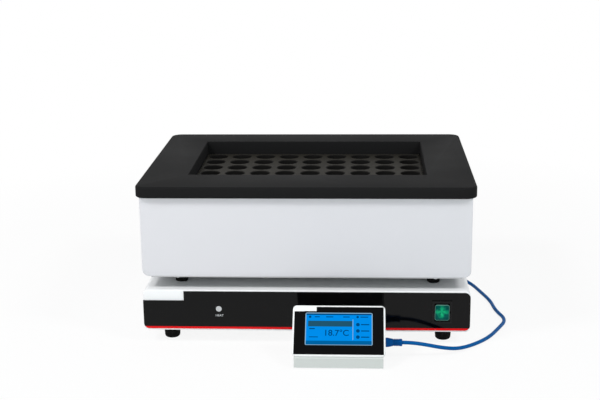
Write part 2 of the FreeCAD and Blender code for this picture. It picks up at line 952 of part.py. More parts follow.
def make_switch():
    x, z = switch_across, switch_level
    bezel_front = fascia_front - dim.BezelWall
    shell_rear = fascia_front + dim.SwitchDepth
    bezel = box(
        (x - dim.BezelWidth / 2, x + dim.BezelWidth / 2),
        (bezel_front, fascia_front),
        (z - dim.BezelHeight / 2, z + dim.BezelHeight / 2),
    )
    shell = switch_cut(fascia_front, shell_rear)
    high, wide = rocker_hole
    room = box((x - wide, x + wide), (bezel_front, shell_rear - dim.SwitchWall), (z - high, z + high))
    slot = dim.TrunnionRadius + dim.BearingClearance
    ends = wide + dim.TrunnionReach + 2 * dim.BearingClearance
    bearing = box((x - ends, x + ends), (bezel_front, rocker_pivot + slot), (z - slot, z + slot))
    keep(cut(fuse([bezel, shell]), [room, bearing]), "switch_housing")
    half = (dim.TabWidth / 2, dim.TabWall / 2)
    tabs = [
        box(
            (x + side - half[0], x + side + half[0]),
            (shell_rear, shell_rear + dim.TabLength),
            (z + row * dim.TabPitch - half[1], z + row * dim.TabPitch + half[1]),
        )
        for side in mirrored(dim.TabAcross / 2)
        for row in (-1, 0, 1)
    ]
    keep(group(tabs), "switch_terminals")
    lamp_rear = shell_rear - dim.SwitchWall
    lamp = box(
        (x - dim.LampWidth / 2, x + dim.LampWidth / 2),
        (lamp_rear - dim.LampLength, lamp_rear),
        (z - dim.LampHeight / 2, z + dim.LampHeight / 2),
    )
    keep(lamp, "rocker_lamp")


def make_rocker():
    """The rocker lies tilted, pressed in at its top, and its ends are arcs about the pivot."""
    body = new_body("Rocker")
    sweep = dim.RockerSweep
    half = dim.RockerWidth / 2
    ends = sweep + dim.RockerOverrun
    profile = [
        (-dim.RockerProud, -ends),
        (-dim.RockerValley, 0),
        (-dim.RockerProud, ends),
        (dim.RockerShoulder, ends),
        (dim.RockerBack, dim.RockerHeel),
        (dim.RockerBack, -dim.RockerHeel),
        (dim.RockerShoulder, -ends),
    ]
    sketch = outline(body, "YZ_Plane", [profile], "Profile", -half)
    pad(body, sketch, dim.RockerWidth)
    corners = [(x, z) for x in mirrored(half) for z in mirrored(ends)]
    round_edges(body, dim.RockerCorner, lambda edge: near(edge, ALONG_Y, corners))
    drum = cylinder(sweep, dim.RockerWidth, (-half, 0, 0), "X")
    reach = half + dim.RockerClearance + dim.TrunnionReach
    pins = cylinder(dim.TrunnionRadius, 2 * reach, (-reach, 0, 0), "X")
    made = keep(fuse([common(body, drum), pins]), "power_rocker")
    tilt = Rotation(Vector(1, 0, 0), -float(dim.RockerTilt))
    place(made, switch_across, rocker_pivot, switch_level, tilt)
    made.setExpression("Placement.Rotation.Angle", dim.RockerTilt.text)


# Rear panel with mains inlet, data socket and ventilation slots

data_level = base_bottom + dim.SocketRise
inlet_across = -half_body + dim.InletInset


def inlet_box(front, rear, wider=0, higher=0):
    half = (dim.InletWidth / 2 + wider, dim.InletHeight / 2 + higher)
    return box(
        (inlet_across - half[0], inlet_across + half[0]),
        (front, rear),
        (data_level - half[1], data_level + half[1]),
    )


def make_rear():
    plate = panel("BaseRear", base_bottom, base_top, dim.BaseCorner, inner_rear, dim.SheetWall, True)
    through = (inner_rear, base_rear)
    socket_hole = box(
        (dim.SocketAcross - dim.JackWidth / 2, dim.SocketAcross + dim.JackWidth / 2),
        through,
        (data_level - dim.JackHeight / 2, data_level + dim.JackHeight / 2),
    )
    vents = slots(-dim.VentAcross, data_level - dim.VentHeight / 2, *through)
    keep(cut(plate, [inlet_box(*through), socket_hole, *vents]), "base_rear_panel")
    proud = base_rear + dim.PanelProud
    wall = dim.InletWall
    room_front = inner_rear - dim.InletRoom
    flange = inlet_box(base_rear, proud, dim.InletEar, wall)
    shell = inlet_box(inner_rear - dim.InletDepth, proud)
    mouth = inlet_box(room_front, proud, -wall, -wall)
    keep(cut(fuse([flange, shell]), [mouth]), "mains_inlet")
    half = (dim.BladeWall / 2, dim.BladeHeight / 2)
    pitch, stagger = dim.BladePitch, dim.BladeStagger
    middles = (
        (inlet_across - pitch, data_level - stagger),
        (inlet_across, data_level + stagger),
        (inlet_across + pitch, data_level - stagger),
    )
    blades = [
        box(
            (x - half[0], x + half[0]),
            (room_front, room_front + dim.BladeLength),
            (z - half[1], z + half[1]),
        )
        for x, z in middles
    ]
    keep(group(blades), "inlet_pins")


# Modular jacks, plugs and boots, each along the axis that its mouth faces


def slab(axis, origin, reach, across, rise):
    """A box along axis X or Y from an origin, as wide and high on both sides as stated."""
    x, y, z = origin
    run = (origin["XY".index(axis)] + reach[0], origin["XY".index(axis)] + reach[1])
    high = (z - rise, z + rise)
    if axis == "X":
        return box(run, (y - across, y + across), high)
    return box((x - across, x + across), run, high)


def jack_shell(axis, origin):
    half = (dim.JackWidth / 2, dim.JackHeight / 2)
    shell = slab(axis, origin, (-dim.JackDepth, 0), *half)
    across = dim.PlugWidth / 2 + dim.PlugClearance
    rise = dim.PlugHeight / 2 + dim.PlugClearance
    mouth = slab(axis, origin, (-dim.PlugInside - dim.PlugClearance, 0), across, rise)
    return cut(shell, [mouth])


def make_plug(axis, origin, plug_name, boot_name):
    across, rise = dim.PlugWidth / 2, dim.PlugHeight / 2
    inside, outside = dim.PlugInside, dim.PlugOutside
    keep(slab(axis, origin, (-inside, outside), across, rise), plug_name)
    hood_end = outside + dim.HoodLength
    taper_end = hood_end + dim.HoodTaper
    hood_rise = dim.HoodHeight / 2
    sleeve_half = dim.CableRadius + dim.SleeveSkin
    hood = slab(axis, origin, (outside, hood_end), across, hood_rise)
    sleeve = slab(axis, origin, (taper_end, taper_end + dim.SleeveLength), sleeve_half, sleeve_half)
    taper = doc.addObject("Part::Wedge", "Taper")
    bind(
        taper,
        Ymin=hood_end,
        Ymax=taper_end,
        Xmin=-across,
        Xmax=across,
        Zmin=-hood_rise,
        Zmax=hood_rise,
        X2min=-sleeve_half,
        X2max=sleeve_half,
        Z2min=-sleeve_half,
        Z2max=sleeve_half,
    )
    place(taper, *origin, Rotation(ALONG_Z, -90 if axis == "X" else 0))
    keep(fuse([hood, taper, sleeve]), boot_name)


# Desk controller: a wedge case, a tilted face with its gloss panel and screen

controller_front = base_front - dim.ControllerReach
face_tangent = Size(math.tan(math.radians(dim.FaceTilt)), "tan(Sizes.FaceTilt)")
face_cosine = Size(math.cos(math.radians(dim.FaceTilt)), "cos(Sizes.FaceTilt)")
face_sine = Size(math.sin(math.radians(dim.FaceTilt)), "sin(Sizes.FaceTilt)")
face_wall = dim.FaceGlossWall + dim.TouchWall
half_face = dim.CaseWidth / 2 + dim.FaceOverhang
case_right = dim.ControllerAcross + dim.CaseWidth / 2
controller_mouth = (case_right, controller_front + dim.JackSetback, dim.JackRise)
base_mouth = (dim.SocketAcross, base_rear + dim.PanelProud, data_level)


def on_face(thing):
    """Puts a piece that was drawn flat onto the tilted face, with its origin at the lower edge."""
    turn = Rotation(Vector(1, 0, 0), float(dim.FaceTilt))
    place(thing, dim.ControllerAcross, controller_front, dim.FaceFoot, turn)
    thing.setExpression("Placement.Rotation.Angle", dim.FaceTilt.text)
    return thing


def make_controller_case():
    low = dim.PadHeight
    front = controller_front
    shoulder = dim.FaceFoot - face_wall / face_cosine
    run = (dim.FaceLength - dim.FaceRim) * face_cosine + face_wall * face_sine
    top = shoulder + run * face_tangent
    profile = [
        (front, low),
        (front + dim.CaseDepth, low),
        (front + dim.CaseTopDepth, top),
        (front + run, top),
        (front, shoulder),
    ]
    body = new_body("ControllerCase")
    left = dim.ControllerAcross - dim.CaseWidth / 2
    pad(body, outline(body, "YZ_Plane", [profile], "Profile", left), dim.CaseWidth)
    wall = dim.CaseWall
    room = [
        (front + wall, low + wall),
        (front + dim.CaseDepth - wall, low + wall),
        (front + dim.CaseTopDepth - wall, top - wall),
        (front + wall, top - wall),
    ]
    inside = outline(body, "YZ_Plane", [room], "Room", left + wall)
    pocket(body, inside, dim.CaseWidth - 2 * wall, reverse=True)
    half = (dim.JackWidth / 2, dim.JackHeight / 2)
    window = slab("X", controller_mouth, (-dim.CaseWall, 0), *half)
    keep(cut(body, [window]), "controller_case")


def gloss_outline():
    """The gloss panel's outline, with the bare corner of the face left out at its upper left."""
    left = -half_face + dim.FaceRim
    right = half_face - dim.FaceRim
    low, high = dim.FaceRim, dim.FaceLength - dim.FaceRim
    step = (left + dim.FaceNotchWidth, high - dim.FaceNotchLength)
    return [
        (left, low),
        (right, low),
        (right, high),
        (step[0], high),
        step,
        (left, step[1]),
    ]


def window_outline(margin):
    across, along = dim.WindowWidth / 2 + margin, dim.WindowLength / 2 + margin
    return rectangle(-across, across, dim.WindowRise - along, dim.WindowRise + along)


def make_controller_face():
    body = new_body("ControllerBezel")
    plate = rectangle(-half_face, half_face, 0, dim.FaceLength)
    sketch = outline(body, "XY_Plane", [plate], "Plate")
    pad(body, sketch, face_wall, reverse=True)
    corners = [(x, y) for x in mirrored(half_face) for y in (0, dim.FaceLength)]
    round_edges(body, dim.FaceCorner, lambda edge: near(edge, ALONG_Z, corners))
    pocket(body, outline(body, "XY_Plane", [gloss_outline()], "GlossSeat"), dim.FaceGlossWall)
    pocket(body, outline(body, "XY_Plane", [window_outline(dim.TouchMargin)], "TouchSeat"), face_wall)
    keep(on_face(body), "controller_bezel")

    body = new_body("ControllerGloss")
    sketch = outline(body, "XY_Plane", [gloss_outline(), window_outline(0)], "Gloss")
    pad(body, sketch, dim.FaceGlossWall, reverse=True)
    keep(on_face(body), "controller_fascia")

    (x0, y0), _, (x1, y1), _ = window_outline(dim.TouchMargin)
    touch = box((x0, x1), (y0, y1), (-face_wall, -dim.FaceGlossWall))
    keep(on_face(group([touch])), "touch_panel")

    half = dim.ScreenWidth / 2
    deep = (dim.WindowRise - dim.ScreenLength / 2, dim.WindowRise + dim.ScreenLength / 2)
    screen_back = face_wall + dim.ScreenWall
    screen = box((-half, half), deep, (-screen_back, -face_wall))
    keep(on_face(group([screen])), "lcd_module")

    board_top = screen_back + dim.SpacerLength
    ends = (dim.WindowRise - dim.FaceBoardLength / 2, dim.WindowRise + dim.FaceBoardLength / 2)
    edge = dim.StandoffAcross
    posts = [
        hexagon(dim.StandoffAcross, dim.SpacerLength, (x, y, -board_top))
        for x in mirrored(half - edge)
        for y in (ends[0] + edge, ends[1] - edge)
    ]
    keep(on_face(group(posts)), "screen_spacers")
    board = box((-half, half), ends, (-board_top - dim.BoardThickness, -board_top))
    keep(on_face(group([board])), "controller_board")


def make_controller():
    make_controller_case()
    make_controller_face()
    keep(jack_shell("X", controller_mouth), "controller_jack")
    front = controller_front + dim.PadInset
    rear = controller_front + dim.CaseDepth - dim.PadInset
    half = (dim.PadWidth / 2, dim.PadDepth / 2)
    pads = [
        box((x - half[0], x + half[0]), (y - half[1], y + half[1]), (0, dim.PadHeight))
        for x in (
            dim.ControllerAcross - dim.CaseWidth / 2 + dim.PadSideInset,
            dim.ControllerAcross + dim.CaseWidth / 2 - dim.PadSideInset,
        )
        for y in (front, rear)
    ]
    keep(group(pads), "controller_pads")


def make_cable_ends():
    keep(jack_shell("Y", base_mouth), "data_socket")
    make_plug("X", controller_mouth, "controller_plug", "controller_boot")
    make_plug("Y", base_mouth, "base_plug", "base_boot")


# Electronics on the tray: control board, supply, relay on its heat sink, terminal block


def make_board():
    deck = tray_floor + dim.StandoffHeight
    board_top = deck + dim.BoardThickness
    right, front = half_body - dim.BoardSideInset, inner_front + dim.BoardSetback
    left, rear = right - dim.BoardWidth, front + dim.BoardDepth
    inset = dim.StandoffInset
    posts = [
        hexagon(dim.StandoffAcross, dim.StandoffHeight, (x, y, tray_floor))
        for x in (left + inset, right - inset)
        for y in (front + inset, rear - inset)
    ]
    keep(group(posts), "board_standoffs")
    keep(box((left, right), (front, rear), (deck, board_top)), "control_board")

    def part_on_board(x, y, width, depth, height):
        return box((x, x + width), (y, y + depth), (board_top, board_top + height))

    supply = part_on_board(
        left + dim.SupplyInset,
        front + dim.SupplySetback,
        dim.SupplyWidth,
        dim.SupplyDepth,
        dim.SupplyHeight,
    )
    keep(supply, "power_supply")
    chip = part_on_board(
        left + dim.ChipInset, front + dim.ChipSetback, dim.ChipWidth, dim.ChipWidth, dim.ChipHeight
    )
    header = part_on_board(
        left + dim.HeaderInset,
        rear - dim.HeaderSetback - dim.HeaderDepth,
        dim.HeaderWidth,
        dim.HeaderDepth,
        dim.HeaderHeight,
    )
    keep(group([chip, header]), "board_parts")


def make_relay():
    x, y = -half_body + dim.SinkSideInset, inner_front + dim.SinkSetback
    sink_top = tray_floor + dim.SinkHeight
    plate_bottom = sink_top - dim.SinkPlate
    ends, deep = (x, x + dim.SinkWidth), (y, y + dim.SinkDepth)
    plate = box(ends, deep, (plate_bottom, sink_top))
    pitch = (dim.SinkWidth - dim.SinkFin) / (dim.SinkFins - 1)
    starts = [x + k * pitch for k in range(int(dim.SinkFins))]
    fins = [box((start, start + dim.SinkFin), deep, (tray_floor, plate_bottom)) for start in starts]
    keep(fuse([plate, *fins]), "relay_heat_sink")
    left = x + (dim.SinkWidth - dim.RelayWidth) / 2
    front = y + (dim.SinkDepth - dim.RelayDepth) / 2
    relay = box(
        (left, left + dim.RelayWidth),
        (front, front + dim.RelayDepth),
        (sink_top, sink_top + dim.RelayHeight),
    )
    keep(relay, "solid_state_relay")

    front = y + dim.SinkDepth + dim.TerminalGap
    top = tray_floor + dim.TerminalHeight
    rail = box((x, x + dim.TerminalWidth), (front, front + dim.TerminalDepth), (tray_floor, top))
    land = (dim.TerminalWidth - (dim.TerminalCount - 1) * dim.TerminalPitch - dim.TerminalGroove) / 2
    starts = [x + land + k * dim.TerminalPitch for k in range(int(dim.TerminalCount))]
    grooves = [
        box(
            (start, start + dim.TerminalGroove),
            (front, front + dim.TerminalStep),
            (tray_floor + dim.TerminalSill, top),
        )
        for start in starts
    ]
    keep(cut(rail, grooves), "terminal_block")


# Patch cable: straight runs joined by arcs as large as the runs allow

CABLE_POINTS = [
    (138.2, -186.0, 22.0),
    (149.5, -186.0, 22.0),
    (169.0, -183.6, 18.6),
    (194.0, -178.0, 11.5),
    (218.0, -166.0, 5.0),
    (243.0, -143.0, 2.7),
    (267.0, -115.0, 2.7),
    (287.5, -79.0, 2.7),
    (301.0, -41.0, 2.7),
    (295.5, 0.0, 2.7),
    (287.5, 43.0, 2.7),
    (278.0, 85.0, 2.7),
    (262.0, 128.0, 2.7),
    (242.0, 174.0, 2.7),
    (219.0, 217.0, 2.7),
    (190.0, 256.0, 2.7),
    (158.0, 284.0, 3.5),
    (129.0, 300.0, 11.0),
    (106.0, 302.0, 27.0),
    (94.0, 291.0, 42.0),
    (90.0, 273.0, 50.0),
    (90.0, 256.0, 50.0),
]
CABLE_SIDES = 5


def cable_path(points):
    """A wire of runs joined by tangent arcs, which start at 0.45 of the shorter run from the point."""
    edges = []
    start = points[0]
    radii = []
    for before, corner, after in zip(points, points[1:], points[2:]):
        into, out = corner - before, after - corner
        turn = into.getAngle(out)
        setback = 0.45 * min(into.Length, out.Length)
        radii.append(setback / math.tan(turn / 2))
        into.normalize()
        out.normalize()
        a, b = corner - into * setback, corner + out * setback
        edges.append(Part.LineSegment(start, a).toShape())
        inward = (out - into).normalize()
        gap = radii[-1] / math.cos(turn / 2) - radii[-1]
        edges.append(Part.Arc(a, corner + inward * gap, b).toShape())
        start = b
    edges.append(Part.LineSegment(start, points[-1]).toShape())
    return Part.Wire(edges), radii


def make_cable():
    points = [Vector(*point) for point in CABLE_POINTS]
    path, radii = cable_path(points)
    radius = float(dim.CableRadius)
    first = (points[1] - points[0]).normalize()
    side = first.cross(ALONG_Z).normalize()
    up = side.cross(first)
    ring = [
        points[0] + (side * math.cos(turn) + up * math.sin(turn)) * radius
        for turn in (2 * math.pi * k / CABLE_SIDES for k in range(CABLE_SIDES))
    ]
    section = Part.makePolygon([*ring, ring[0]])
    tube = path.makePipeShell([section], True, True)
    cable = doc.addObject("Part::Feature", "PatchCable")
    cable.Shape = tube
    area = CABLE_SIDES / 2 * radius**2 * math.sin(2 * math.pi / CABLE_SIDES)
    ratio = tube.Volume / (area * path.Length)
    print("cable length", round(path.Length, 1), "volume ratio", round(ratio, 4))
    print("cable radii", [round(value) for value in radii])
    keep(cable, "patch_cable")


def check_and_write():
    doc.recompute()
    for thing in doc.Objects:
        if "Invalid" in thing.State or "Error" in thing.State:
            raise RuntimeError(f"{thing.Label} has failed: {thing.State}")
    os.makedirs("parts", exist_ok=True)
    for thing in nodes:
        shape = thing.Shape
        if shape.isNull() or not shape.isValid() or not shape.Solids:
            raise RuntimeError(f"{thing.Label} has no valid solid")
        shape.exportStep(f"parts/{thing.Label}.step")
    print(len(nodes), "sub-parts written")


for make in (
    make_top_surround,
    make_graphite_block,
    make_heater_stack,
    make_probe,
    make_duct,
    make_heater_housing,
    make_feet,
    make_base_cover,
    make_base_tray,
    make_front,
    make_indicator,
    make_switch,
    make_rocker,
    make_rear,
    make_controller,
    make_cable_ends,
    make_board,
    make_relay,
    make_cable,
):
    make()
check_and_write()
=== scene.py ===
import math

import bpy
from mathutils import Matrix, Vector


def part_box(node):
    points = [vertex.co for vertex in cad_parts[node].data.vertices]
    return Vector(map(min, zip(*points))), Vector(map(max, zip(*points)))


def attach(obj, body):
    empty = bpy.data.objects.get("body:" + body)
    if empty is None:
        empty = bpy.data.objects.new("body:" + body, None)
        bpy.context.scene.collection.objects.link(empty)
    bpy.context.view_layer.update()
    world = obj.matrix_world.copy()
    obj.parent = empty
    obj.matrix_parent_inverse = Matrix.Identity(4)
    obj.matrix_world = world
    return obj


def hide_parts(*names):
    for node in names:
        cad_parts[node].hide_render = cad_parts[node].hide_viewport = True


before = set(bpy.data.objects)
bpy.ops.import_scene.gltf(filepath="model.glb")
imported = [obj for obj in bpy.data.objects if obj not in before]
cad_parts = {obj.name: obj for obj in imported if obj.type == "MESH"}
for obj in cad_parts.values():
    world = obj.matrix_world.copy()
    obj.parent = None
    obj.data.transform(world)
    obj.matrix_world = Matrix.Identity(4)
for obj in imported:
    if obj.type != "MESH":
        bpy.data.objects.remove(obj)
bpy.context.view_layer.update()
print("packed frame loaded")


# Camera, as the photograph was taken

shot = {
    "place": (0.08283, -1.76186, 0.65237),
    "pitchDown": 14.995,
    "yawLeft": 3.146,
    "roll": -0.677,
    "lens": 71.505,
    "sensor": 36,
    "nearest": 0.05,
    "farthest": 60,
}


def addCamera():
    pitch, yaw, roll = (math.radians(shot[key]) for key in ("pitchDown", "yawLeft", "roll"))
    flat = math.cos(pitch)
    ahead = Vector((-math.sin(yaw) * flat, math.cos(yaw) * flat, -math.sin(pitch)))
    right = Vector((math.cos(yaw), math.sin(yaw), 0))
    up = right.cross(ahead)
    tiltedRight = right * math.cos(roll) + up * math.sin(roll)
    tiltedUp = up * math.cos(roll) - right * math.sin(roll)
    turn = Matrix((tiltedRight, tiltedUp, -ahead)).transposed().to_4x4()
    bpy.ops.object.camera_add()
    camera = bpy.context.object
    camera.matrix_world = Matrix.Translation(shot["place"]) @ turn
    camera.data.lens = shot["lens"]
    camera.data.sensor_width = shot["sensor"]
    camera.data.clip_start = shot["nearest"]
    camera.data.clip_end = shot["farthest"]
    bpy.context.scene.camera = camera


addCamera()


# The patch cable's route, laid on the bench from the controller round to the back

cable = {
    "diameter": 0.0054,
    "length": 0.719,
    "order": 3,
    "steps": 16,
    "sideSteps": 6,
    "route": [
        (0.1382, -0.1860, 0.0220),
        (0.1495, -0.1860, 0.0220),
        (0.1690, -0.1836, 0.0186),
        (0.1940, -0.1780, 0.0115),
        (0.2180, -0.1660, 0.0050),
        (0.2430, -0.1430, 0.0027),
        (0.2670, -0.1150, 0.0027),
        (0.2845, -0.0790, 0.0027),
        (0.3010, -0.0410, 0.0027),
        (0.2885, 0.0000, 0.0027),
        (0.2855, 0.0430, 0.0027),
        (0.2740, 0.0850, 0.0027),
        (0.2620, 0.1280, 0.0027),
        (0.2355, 0.1720, 0.0027),
        (0.2115, 0.2150, 0.0027),
        (0.1865, 0.2545, 0.0027),
        (0.1580, 0.2840, 0.0035),
        (0.1290, 0.3000, 0.0110),
        (0.1060, 0.3020, 0.0270),
        (0.0940, 0.2910, 0.0420),
        (0.0900, 0.2730, 0.0500),
        (0.0900, 0.2560, 0.0500),
    ],
}


# Shader groups that several finishes share


def newGroup(name, inputs, outputs):
    group = bpy.data.node_groups.new(name, "ShaderNodeTree")
    for socketName, kind, value in inputs:
        socket = group.interface.new_socket(socketName, in_out="INPUT", socket_type=kind)
        socket.default_value = value
    for socketName, kind in outputs:
        group.interface.new_socket(socketName, in_out="OUTPUT", socket_type=kind)
    return group, group.nodes.new("NodeGroupInput"), group.nodes.new("NodeGroupOutput")


def link(tree, source, target):
    tree.links.new(source, target)


def addNode(tree, kind, **settings):
    made = tree.nodes.new(kind)
    for key, value in settings.items():
        if key in made.inputs:
            made.inputs[key].default_value = value
        else:
            setattr(made, key, value)
    return made


def maths(tree, operation, first, second=None, third=None):
    # one sum: each term is a number or another node's output
    made = addNode(tree, "ShaderNodeMath", operation=operation)
    for socket, term in zip(made.inputs, (first, second, third)):
        if isinstance(term, (int, float)):
            socket.default_value = term
        elif term is not None:
            link(tree, term, socket)
    return made.outputs[0]


def distance(tree, across, up):
    # length of a flat step from its two parts
    squares = [maths(tree, "MULTIPLY", part, part) for part in (across, up)]
    return maths(tree, "SQRT", maths(tree, "ADD", *squares))


def beyond(tree, value, limit):
    # how far a value lies past a limit, on either side of nought
    past = maths(tree, "SUBTRACT", maths(tree, "ABSOLUTE", value), limit)
    return maths(tree, "MAXIMUM", past, 0.0)


grainMix = {"grainShare": 0.45, "smudgeShare": 0.55, "smudgeLow": 0.3, "smudgeHigh": 0.7}


def makeCoatGroup():
    # fine grain in colour and height, broad smudges in roughness
    group, start, end = newGroup(
        "coatGrain",
        [
            ("Base", "NodeSocketColor", (0.5, 0.5, 0.5, 1)),
            ("Shade", "NodeSocketColor", (0.4, 0.4, 0.4, 1)),
            ("Grain Scale", "NodeSocketFloat", 900.0),
            ("Smudge Scale", "NodeSocketFloat", 7.0),
            ("Smooth", "NodeSocketFloat", 0.4),
            ("Rough", "NodeSocketFloat", 0.55),
        ],
        [("Color", "NodeSocketColor"), ("Roughness", "NodeSocketFloat"), ("Height", "NodeSocketFloat")],
    )
    place = addNode(group, "ShaderNodeTexCoord")
    grain = addNode(group, "ShaderNodeTexNoise", Detail=3.0, Roughness=0.6)
    smudge = addNode(group, "ShaderNodeTexNoise", Detail=4.0, Roughness=0.55, Distortion=0.4)
    link(group, place.outputs["Object"], grain.inputs["Vector"])
    link(group, place.outputs["Object"], smudge.inputs["Vector"])
    link(group, start.outputs["Grain Scale"], grain.inputs["Scale"])
    link(group, start.outputs["Smudge Scale"], smudge.inputs["Scale"])
    broad = maths(group, "MULTIPLY", smudge.outputs["Fac"], grainMix["smudgeShare"])
    both = maths(group, "MULTIPLY_ADD", grain.outputs["Fac"], grainMix["grainShare"], broad)
    mix = addNode(group, "ShaderNodeMix", data_type="RGBA")
    link(group, both, mix.inputs["Factor"])
    link(group, start.outputs["Base"], mix.inputs["A"])
    link(group, start.outputs["Shade"], mix.inputs["B"])
    link(group, mix.outputs["Result"], end.inputs["Color"])
    span = addNode(group, "ShaderNodeMapRange")
    span.inputs["From Min"].default_value = grainMix["smudgeLow"]
    span.inputs["From Max"].default_value = grainMix["smudgeHigh"]
    link(group, smudge.outputs["Fac"], span.inputs["Value"])
    link(group, start.outputs["Smooth"], span.inputs["To Min"])
    link(group, start.outputs["Rough"], span.inputs["To Max"])
    link(group, span.outputs["Result"], end.inputs["Roughness"])
    link(group, grain.outputs["Fac"], end.inputs["Height"])
    return group


brushStretch = (0.012, 1, 1)


def makeBrushGroup():
    # long fine lines along X, for rolled and drawn metal
    group, start, end = newGroup(
        "brushedLines",
        [
            ("Base", "NodeSocketColor", (0.6, 0.6, 0.6, 1)),
            ("Shade", "NodeSocketColor", (0.5, 0.5, 0.5, 1)),
            ("Line Scale", "NodeSocketFloat", 1400.0),
            ("Smooth", "NodeSocketFloat", 0.28),
            ("Rough", "NodeSocketFloat", 0.42),
        ],
        [("Color", "NodeSocketColor"), ("Roughness", "NodeSocketFloat"), ("Height", "NodeSocketFloat")],
    )
    place = addNode(group, "ShaderNodeTexCoord")
    stretch = addNode(group, "ShaderNodeMapping")
    stretch.inputs["Scale"].default_value = brushStretch
    lines = addNode(group, "ShaderNodeTexNoise", Detail=5.0, Roughness=0.7)
    link(group, place.outputs["Object"], stretch.inputs["Vector"])
    link(group, stretch.outputs["Vector"], lines.inputs["Vector"])
    link(group, start.outputs["Line Scale"], lines.inputs["Scale"])
    mix = addNode(group, "ShaderNodeMix", data_type="RGBA")
    link(group, lines.outputs["Fac"], mix.inputs["Factor"])
    link(group, start.outputs["Base"], mix.inputs["A"])
    link(group, start.outputs["Shade"], mix.inputs["B"])
    link(group, mix.outputs["Result"], end.inputs["Color"])
    span = addNode(group, "ShaderNodeMapRange")
    link(group, lines.outputs["Fac"], span.inputs["Value"])
    link(group, start.outputs["Smooth"], span.inputs["To Min"])
    link(group, start.outputs["Rough"], span.inputs["To Max"])
    link(group, span.outputs["Result"], end.inputs["Roughness"])
    link(group, lines.outputs["Fac"], end.inputs["Height"])
    return group


coatGroup = makeCoatGroup()
brushGroup = makeBrushGroup()


def startMaterial(name):
    material = bpy.data.materials.new(name)
    material.use_nodes = True
    tree = material.node_tree
    return material, tree, tree.nodes["Principled BSDF"]


def newMaterial(name, group, values, bump=0.1, depth=0.0002, **sockets):
    # one material: the shared group with this finish's own values, and the shader's plain settings
    material, tree, shader = startMaterial(name)
    pattern = tree.nodes.new("ShaderNodeGroup")
    pattern.node_tree = group
    for key, value in values.items():
        pattern.inputs[key].default_value = (*value, 1) if isinstance(value, tuple) else value
    link(tree, pattern.outputs["Color"], shader.inputs["Base Color"])
    link(tree, pattern.outputs["Roughness"], shader.inputs["Roughness"])
    raised = addNode(tree, "ShaderNodeBump", Strength=bump, Distance=depth)
    link(tree, pattern.outputs["Height"], raised.inputs["Height"])
    link(tree, raised.outputs["Normal"], shader.inputs["Normal"])
    for key, value in sockets.items():
        shader.inputs[key.replace("_", " ")].default_value = value
    return material


def coat(name, base, shade, smooth, rough, grain, smudge, bump, depth=0.0002, **sockets):
    # paint, moulding or rubber: two tones, two roughnesses, and how fine its grain and smudges are
    values = {
        "Base": base,
        "Shade": shade,
        "Grain Scale": grain,
        "Smudge Scale": smudge,
        "Smooth": smooth,
        "Rough": rough,
    }
    return newMaterial(name, coatGroup, values, bump, depth, **sockets)


def metal(name, base, shade, smooth, rough, lines=1400.0, bump=0.08, depth=0.0001):
    values = {"Base": base, "Shade": shade, "Line Scale": lines, "Smooth": smooth, "Rough": rough}
    return newMaterial(name, brushGroup, values, bump, depth, Metallic=1.0)


blackCoat = coat(
    "blackCoat", (0.0122, 0.0122, 0.0125), (0.0158, 0.0158, 0.0161), 0.5, 0.62, 1100.0, 5.0, 0.2,
    Specular_IOR_Level=0.012,
)
whiteCoat = coat("whiteCoat", (0.685, 0.683, 0.712), (0.660, 0.662, 0.690), 0.4, 0.52, 800.0, 4.0, 0.1)
# the base's white paint, lighter than whiteCoat to make up for the shade under the heater: painted light
baseCoatPaintedLight = coat("baseCoatPaintedLight", (0.87, 0.88, 0.885), (0.84, 0.85, 0.86), 0.4, 0.52, 800.0, 4.0, 0.1)
glossBlack = coat(
    "glossBlack", (0.0008, 0.0008, 0.001), (0.0014, 0.0014, 0.0016), 0.04, 0.09, 60.0, 9.0, 0.0,
    Specular_IOR_Level=0.17,
)
faceGloss = coat(
    "faceGloss", (0.0016, 0.0016, 0.0019), (0.0024, 0.0024, 0.0027), 0.05, 0.11, 60.0, 9.0, 0.0,
    Specular_IOR_Level=0.055,
)
redStripe = coat(
    "redStripe", (0.74, 0.0015, 0.004), (0.66, 0.0015, 0.003), 0.3, 0.4, 400.0, 12.0, 0.03,
    Specular_IOR_Level=0.15,
)
paleShell = coat("paleShell", (0.61, 0.64, 0.62), (0.55, 0.58, 0.56), 0.42, 0.55, 1500.0, 12.0, 0.2)
whiteShell = coat("whiteShell", (0.86, 0.87, 0.87), (0.80, 0.81, 0.81), 0.3, 0.42, 1500.0, 12.0, 0.1)
printPale = coat("printPale", (0.50, 0.51, 0.52), (0.42, 0.43, 0.44), 0.5, 0.6, 2500.0, 200.0, 0.05)
darkMould = coat("darkMould", (0.008, 0.008, 0.008), (0.014, 0.014, 0.014), 0.3, 0.45, 1500.0, 20.0, 0.15)
switchBlack = coat(
    "switchBlack", (0.0012, 0.0012, 0.0014), (0.003, 0.003, 0.0032), 0.22, 0.32, 1800.0, 60.0, 0.06,
    Specular_IOR_Level=0.2,
)
softRubber = coat(
    "softRubber", (0.0035, 0.0035, 0.0035), (0.008, 0.0078, 0.0075), 0.6, 0.8, 700.0, 25.0, 0.3,
    Specular_IOR_Level=0.05,
)
greyLens = coat("greyLens", (0.56, 0.57, 0.58), (0.44, 0.45, 0.46), 0.2, 0.3, 300.0, 60.0, 0.05)
siliconeMat = coat("siliconeMat", (0.42, 0.10, 0.02), (0.30, 0.07, 0.015), 0.55, 0.7, 350.0, 30.0, 0.4)
fibreBoard = coat(
    "fibreBoard", (0.72, 0.69, 0.60), (0.50, 0.47, 0.40), 0.85, 0.95, 420.0, 30.0, 0.8, 0.0006,
)
boardGreen = coat("boardGreen", (0.006, 0.075, 0.03), (0.012, 0.12, 0.05), 0.3, 0.4, 160.0, 90.0, 0.3)
touchGlass = coat("touchGlass", (0.004, 0.006, 0.01), (0.006, 0.009, 0.014), 0.05, 0.1, 50.0, 20.0, 0.0)
